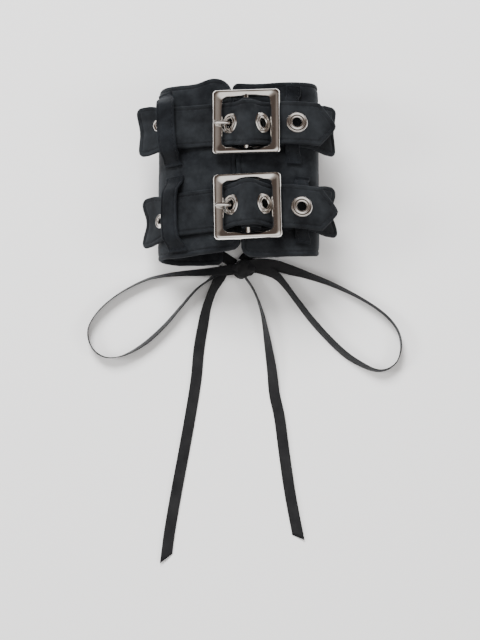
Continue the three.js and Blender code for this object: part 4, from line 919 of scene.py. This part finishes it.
# The keepers' cloth is a darker copy of the straps' black cloth: the darkening is painted shade, which dims
# the light of the lamp beyond the cuff on their raised ends.
keeper_cloth_painted_shade = woven_cloth("keeper_cloth_painted_shade", (0.004, 0.0045, 0.0055), (0.0145, 0.0165, 0.0195),
                           rough=0.72, sheen=0.05, thread=0.6, slanted=True)
for number, (name, rows) in enumerate(KEEPERS.items()):
    grid = keeper_grid(rows, KEEPER["width"][name.split("_")[0]])
    stitched_piece(f"loop_{name}", grid, KEEPER, KEEPER["thick"], 0.7 * number, keeper_cloth_painted_shade,
                   f"keeper_{name}", [f"loop_stitches_{name}"])

# The eyelets
# Nickel-plated brass, set from the front: a flange with a rolled rim, a shallow groove and an
# inner rim, a plain throat, and a washer behind. The straps' are 10 mm across, and the small ones
# in the straps' ends and along the cuff's back are 7 mm.
EYELETS = {
    "strap": {"hole": 2.3, "throat": 3.3, "flange": 5.1, "rise": 0.6, "grip": 2.0, "sides": 64},
    "end": {"hole": 1.45, "throat": 1.95, "flange": 3.5, "rise": 0.45, "grip": 2.0, "sides": 40},
    "back": {"hole": 2.05, "throat": 2.35, "flange": 3.5, "rise": 0.35, "grip": 3.0, "sides": 40},
}
EYELET_STEPS = 3


def nickel_plate(name, rough, tint):
    """Polished nickel plate: worn a little duller in patches, with fine scratches in the gloss."""
    finish, nodes, links, shader = new_finish(name)
    set_inputs(shader, {"Metallic": 1})
    place = nodes.new("ShaderNodeTexCoord")
    wear = set_inputs(nodes.new("ShaderNodeTexNoise"), {"Scale": 180, "Detail": 5})
    gloss = set_inputs(nodes.new("ShaderNodeMapRange"), {"To Min": rough * 0.7, "To Max": rough * 1.6})
    tones = tone_ramp(nodes, [(0.3, [0.9 * c for c in tint]), (0.7, tint)])
    links.new(place.outputs["Object"], wear.inputs["Vector"])
    links.new(wear.outputs["Fac"], gloss.inputs["Value"])
    links.new(gloss.outputs["Result"], shader.inputs["Roughness"])
    links.new(wear.outputs["Fac"], tones.inputs["Fac"])
    links.new(tones.outputs["Color"], shader.inputs["Base Color"])
    scratches = noise_bump(nodes, links, place.outputs["Object"], scale=1400, strength=0.06, distance=2e-5)
    links.new(scratches.outputs[0], shader.inputs["Normal"])
    return finish


def loop_faces(rings, sides):
    """Faces of rings of points whose last ring meets the first."""
    index = ring_numbers(rings, sides)
    return grid_quads(np.concatenate([index, index[:1]]))


def nickel_piece(name, shape, place, replaced=()):
    """A nickel piece: a shape's points and faces, moved to its place."""
    points, faces = shape
    make_piece(name, placed(points, place), faces, points[:, :2], nickel, replaced)


def eyelet_shape(size):
    """An eyelet's profile carried round its axis: from the edge of the flange over its rolled rim,
    through a shallow groove, over the inner rim, down the hole and round the washer behind."""
    seat = size["grip"] / 2 + 0.03
    hole, throat, flange, rise = (size[key] for key in ("hole", "throat", "flange", "rise"))
    face = flange - hole
    rows = [
        (flange, seat), (flange + 0.03, seat + 0.14), (flange - 0.07 * face, seat + 0.7 * rise),
        (flange - 0.17 * face, seat + 0.92 * rise), (flange - 0.29 * face, seat + 0.7 * rise),
        (flange - 0.42 * face, seat + 0.42 * rise), (flange - 0.52 * face, seat + 0.46 * rise),
        (flange - 0.63 * face, seat + 0.86 * rise), (flange - 0.75 * face, seat + rise),
        (hole + 0.1 * face, seat + 0.74 * rise), (hole + 0.01, seat + 0.1 * rise), (hole, 0.2 * seat),
        (hole, -0.6 * seat), (hole + 0.02, -seat - 0.25), (hole + 0.35, -seat - 0.5),
        (throat + 0.25, -seat - 0.42), (throat + 0.8, -seat - 0.1), (throat + 0.78, -seat),
        (throat + 0.06, -seat), (throat, 0.0), (throat, seat),
    ]
    radius, height = curve_through(rows, EYELET_STEPS, closed=True)[:-1].T
    turn = around(size["sides"])[:, None]
    points = np.stack([radius * np.cos(turn), radius * np.sin(turn), height + 0 * turn], -1)
    return points.reshape(-1, 3), loop_faces(size["sides"], len(radius))


nickel = nickel_plate("nickel", rough=0.12, tint=(0.93, 0.9, 0.865))
eyelets = [(f"end_eyelet_{level}", "end", places[0]) for level, places in strap_eyelets.items()]
eyelets += [
    (f"eyelet_{level}_{k}", "strap", place)
    for level, places in strap_eyelets.items() for k, place in enumerate(places[1:], 1)
]
eyelets += [
    (f"back_eyelet_{side}_{k}", "back", place @ Matrix.Rotation(math.pi, 4, "X"))
    for side, places in back_eyelet_places.items() for k, place in enumerate(places, 1)
]
for node, kind, place in eyelets:
    nickel_piece(f"ring_{node}", eyelet_shape(EYELETS[kind]), place, [node])

# The buckles
# Square cast frames in polished nickel with a round centre bar, 33 mm across. Each face rises
# steeply from the outside to a soft ridge and slopes gently to the inside. A bent wire prong turns
# on the bar, comes up through the first eyelet and rests on the left side.
# The face's rows are the share of the way in and the share of the thickness; the prong's are
# across and up from the bar.
FRAME = {"x": 33.4, "y": 33.0, "side": 5.0, "top": 3.7, "thick": 3.0, "corner": 2.0, "inner_corner": 2.6}
CORNER_POINTS = 11
BAR = {"radius": 1.3, "sides": 32}
PRONG = {"radius": 1.0, "play": 0.25, "turn": (160, -122, 34), "tip": 1.6, "point": 0.45, "sides": 20}
PRONG_STEPS = 6
FACE = [
    (0.0, 0.0), (-0.01, 0.22), (0.01, 0.5), (0.06, 0.74), (0.14, 0.9), (0.24, 0.985), (0.36, 1.0),
    (0.52, 0.955), (0.7, 0.86), (0.86, 0.74), (0.95, 0.65), (0.99, 0.52), (1.0, 0.3), (1.0, 0.06),
    (0.97, 0.0),
]
PRONG_SHAFT = [
    (-4.1, -1.95), (-6.3, -1.5), (-7.7, -0.45), (-9.0, 0.7), (-10.6, 1.3), (-12.4, 1.5), (-14.4, 1.6),
    (-15.9, 1.45),
]


def round_square(x, y, radius):
    """Outline of a rectangle of the given half sides: a quarter circle about each corner's centre."""
    turn = np.radians(np.add.outer((0, 90, 180, 270), np.linspace(0, 90, CORNER_POINTS))).ravel()
    sign_x = np.repeat((1, -1, -1, 1), CORNER_POINTS)
    sign_y = np.repeat((1, 1, -1, -1), CORNER_POINTS)
    centre = np.stack([sign_x * (x - radius), sign_y * (y - radius)], 1)
    return centre + radius * np.stack([np.cos(turn), np.sin(turn)], 1)


def frame_shape():
    """The frame about the z axis with its back at nothing: its face's profile runs from an outer
    square to an inner one, both with round corners, and is carried round them."""
    far = round_square(FRAME["x"] / 2, FRAME["y"] / 2, FRAME["corner"])
    near = round_square(FRAME["x"] / 2 - FRAME["side"], FRAME["y"] / 2 - FRAME["top"], FRAME["inner_corner"])
    inward, height = np.array(FACE).T
    flat = far[:, None] + (near - far)[:, None] * inward[:, None]
    height = np.broadcast_to(height * FRAME["thick"], flat.shape[:2])
    points = np.concatenate([flat, height[..., None]], 2)
    return points.reshape(-1, 3), loop_faces(len(far), len(FACE))


def rod_shape(path, radii, sides):
    """A round rod along a path across and up, with flat ends: points and faces."""
    path = np.asarray(path, float)
    up = quarter_up(unit(np.gradient(path, axis=0)))[:, None]
    turn = around(sides)[None, :, None]
    out = np.cos(turn) * up - np.sin(turn) * np.array((0, 1, 0))
    points = in_space(path)[:, None] + np.asarray(radii)[:, None, None] * out
    return points.reshape(-1, 3), tube_faces(len(path), sides)


prong_ring = PRONG["radius"] + PRONG["play"] + BAR["radius"]
prong_turn = np.radians(np.linspace(*PRONG["turn"]))
prong_ring = prong_ring * np.stack([np.cos(prong_turn), np.sin(prong_turn)], 1)
prong_shaft = curve_through(np.vstack([prong_ring[-3::2], PRONG_SHAFT]), PRONG_STEPS)[PRONG_STEPS:]
prong_path = np.vstack([prong_ring[:-1], prong_shaft])
prong_along = lengths_along(prong_path)
prong_end = rounded(prong_along[-1] - prong_along, PRONG["tip"])
prong_radii = PRONG["radius"] * (PRONG["point"] + (1 - PRONG["point"]) * prong_end)
prong_shape = rod_shape(prong_path, prong_radii, PRONG["sides"])
bar_half = (FRAME["y"] - FRAME["top"]) / 2
bar_points, bar_faces = rod_shape([(-bar_half, 0), (0, 0), (bar_half, 0)], [BAR["radius"]] * 3, BAR["sides"])
bar_points = placed(bar_points, Matrix.Rotation(math.pi / 2, 4, "Z")) + (0, 0, BAR["radius"])
for level, belt in BELTS.items():
    about = Matrix.Rotation(math.radians(belt["turn"]), 4, "Z")
    tilted = about @ Matrix.Rotation(-math.radians(BUCKLE["tilt"]), 4, "Y")
    bar_centre = Vector((belt["x"], belt["y"], BUCKLE["height"]))
    place = Matrix.Translation(bar_centre - tilted @ Vector((0, 0, BAR["radius"]))) @ tilted
    nickel_piece(f"square_{level}", frame_shape(), place, [f"buckle_{level}"])
    nickel_piece(f"bar_{level}", (bar_points, bar_faces), place)
    place = Matrix.Translation((belt["x"], belt["prong"], BUCKLE["height"])) @ about
    nickel_piece(f"tongue_{level}", prong_shape, place, [f"prong_{level}"])

# The lacing
# The same ribbon draws the two halves together at the back: it is gathered in each eyelet, lies
# flat between them and crosses itself, and both its ends come out under the hem to the bow.
# Rows are across, along and up, and whether the ribbon is spread there.
LACE = {
    "inside": 6.1, "outside": 0.56, "crossing": 0.8, "hole": 3.3, "turn": 0.7, "dip": 0.2,
    "spread_from": 4.6, "crossing_half": 4.4, "gathered": (0.8, 0.4), "spread": (2.5, 0.2),
    "steps": 5, "sides": 20, "crosses_from": 4, "upright": 0.05,
}
LACE_FROM = [(-1.6, -41.0, 0.9, 1), (-4.9, -38.8, 0.6, 1), (-8.6, -36.2, 0.56, 1), (-11.7, -33.9, 0.8, 0)]
LACE_TO = [(8.5, -34.0, 0.8, 0), (5.4, -36.5, 0.56, 1), (3.4, -37.4, 1.0, 1), (2.3, -39.5, 1.7, 1)]
LACE_VISITS = [
    ("left", 0), ("right", 1), ("left", 2), ("right", 3), ("left", 3), ("right", 2), ("left", 1),
    ("right", 0),
]
LACE_SOFTENING = (1, 2, 3, 2, 1)


def strand(start, end, height, inward, crossing):
    """One stretch of lacing between two eyelets: gathered at both ends, spread between them and
    raised in the middle where it crosses another."""
    heading = unit(np.append((end - start)[:2], 0))
    middle = (start + end) / 2
    spread_from = LACE["spread_from"] * heading
    crossing_half = LACE["crossing_half"] * heading
    rows = [
        (start + LACE["turn"] * heading, height + inward, 0), (start + spread_from, height, 1),
        (middle - crossing_half, height + crossing, 1), (middle + crossing_half, height + crossing, 1),
        (end - spread_from, height, 1), (end - LACE["turn"] * heading, height + inward, 0),
    ]
    return [(point[0], point[1], z, wide) for point, z, wide in rows]


holes = [np.array((sum(BACK_SEATS[side]) / 2, BACK_ROWS[row], LACE["hole"])) for side, row in LACE_VISITS]
lace_rows = [*LACE_FROM, (*holes[0], 0)]
for k, (hole, after) in enumerate(zip(holes, holes[1:])):
    height, inward = (LACE["inside"], -LACE["dip"]) if k % 2 == 0 else (LACE["outside"], LACE["dip"])
    crossing = LACE["crossing"] if k >= LACE["crosses_from"] else 0
    lace_rows += strand(hole, after, height, inward, crossing)
    lace_rows.append((*after, 0))
lace_rows = np.array(lace_rows + LACE_TO, float)
lace_numbers = np.arange(len(lace_rows))
lace_share = np.linspace(0, lace_numbers[-1], lace_numbers[-1] * LACE["steps"] + 1)
lace_line = at_length(lace_rows, lace_numbers, lace_share)
lace_padded = np.pad(lace_line, ((2, 2), (0, 0)), mode="edge")
lace_line = sum(
    weight * lace_padded[k:k + len(lace_line)] for k, weight in enumerate(LACE_SOFTENING)
) / sum(LACE_SOFTENING)
lace_heading = unit(np.gradient(lace_line[:, :3], axis=0))
# Where the ribbon runs almost straight up, its side is taken from the places on each side of it.
lace_side = np.cross((0, 0, 1), lace_heading)
lace_known = np.flatnonzero(np.linalg.norm(lace_side, axis=1) >= LACE["upright"])
lace_side = at_length(lace_side[lace_known], lace_known, np.arange(len(lace_side)))
lace_side = unit(lace_side - lace_heading * (lace_side * lace_heading).sum(1, keepdims=True))
lace_side[1:] *= np.cumprod(np.where((lace_side[1:] * lace_side[:-1]).sum(1) < 0, -1, 1))[:, None]
lace_up = np.cross(lace_heading, lace_side)
lace_turn = around(LACE["sides"])[None, :, None]
gathered, spread = (np.array(LACE[key]) for key in ("gathered", "spread"))
lace_half, lace_deep = (gathered + (spread - gathered) * lace_line[:, 3:]).T[:, :, None, None]
lace_points = (lace_line[:, None, :3] + lace_half * np.cos(lace_turn) * lace_side[:, None]
               + lace_deep * np.sin(lace_turn) * lace_up[:, None]).reshape(-1, 3)
lace_faces = tube_faces(len(lace_line), LACE["sides"])
make_piece("back_lacing", lace_points, lace_faces, lace_points[:, :2], satin, ["lacing"])
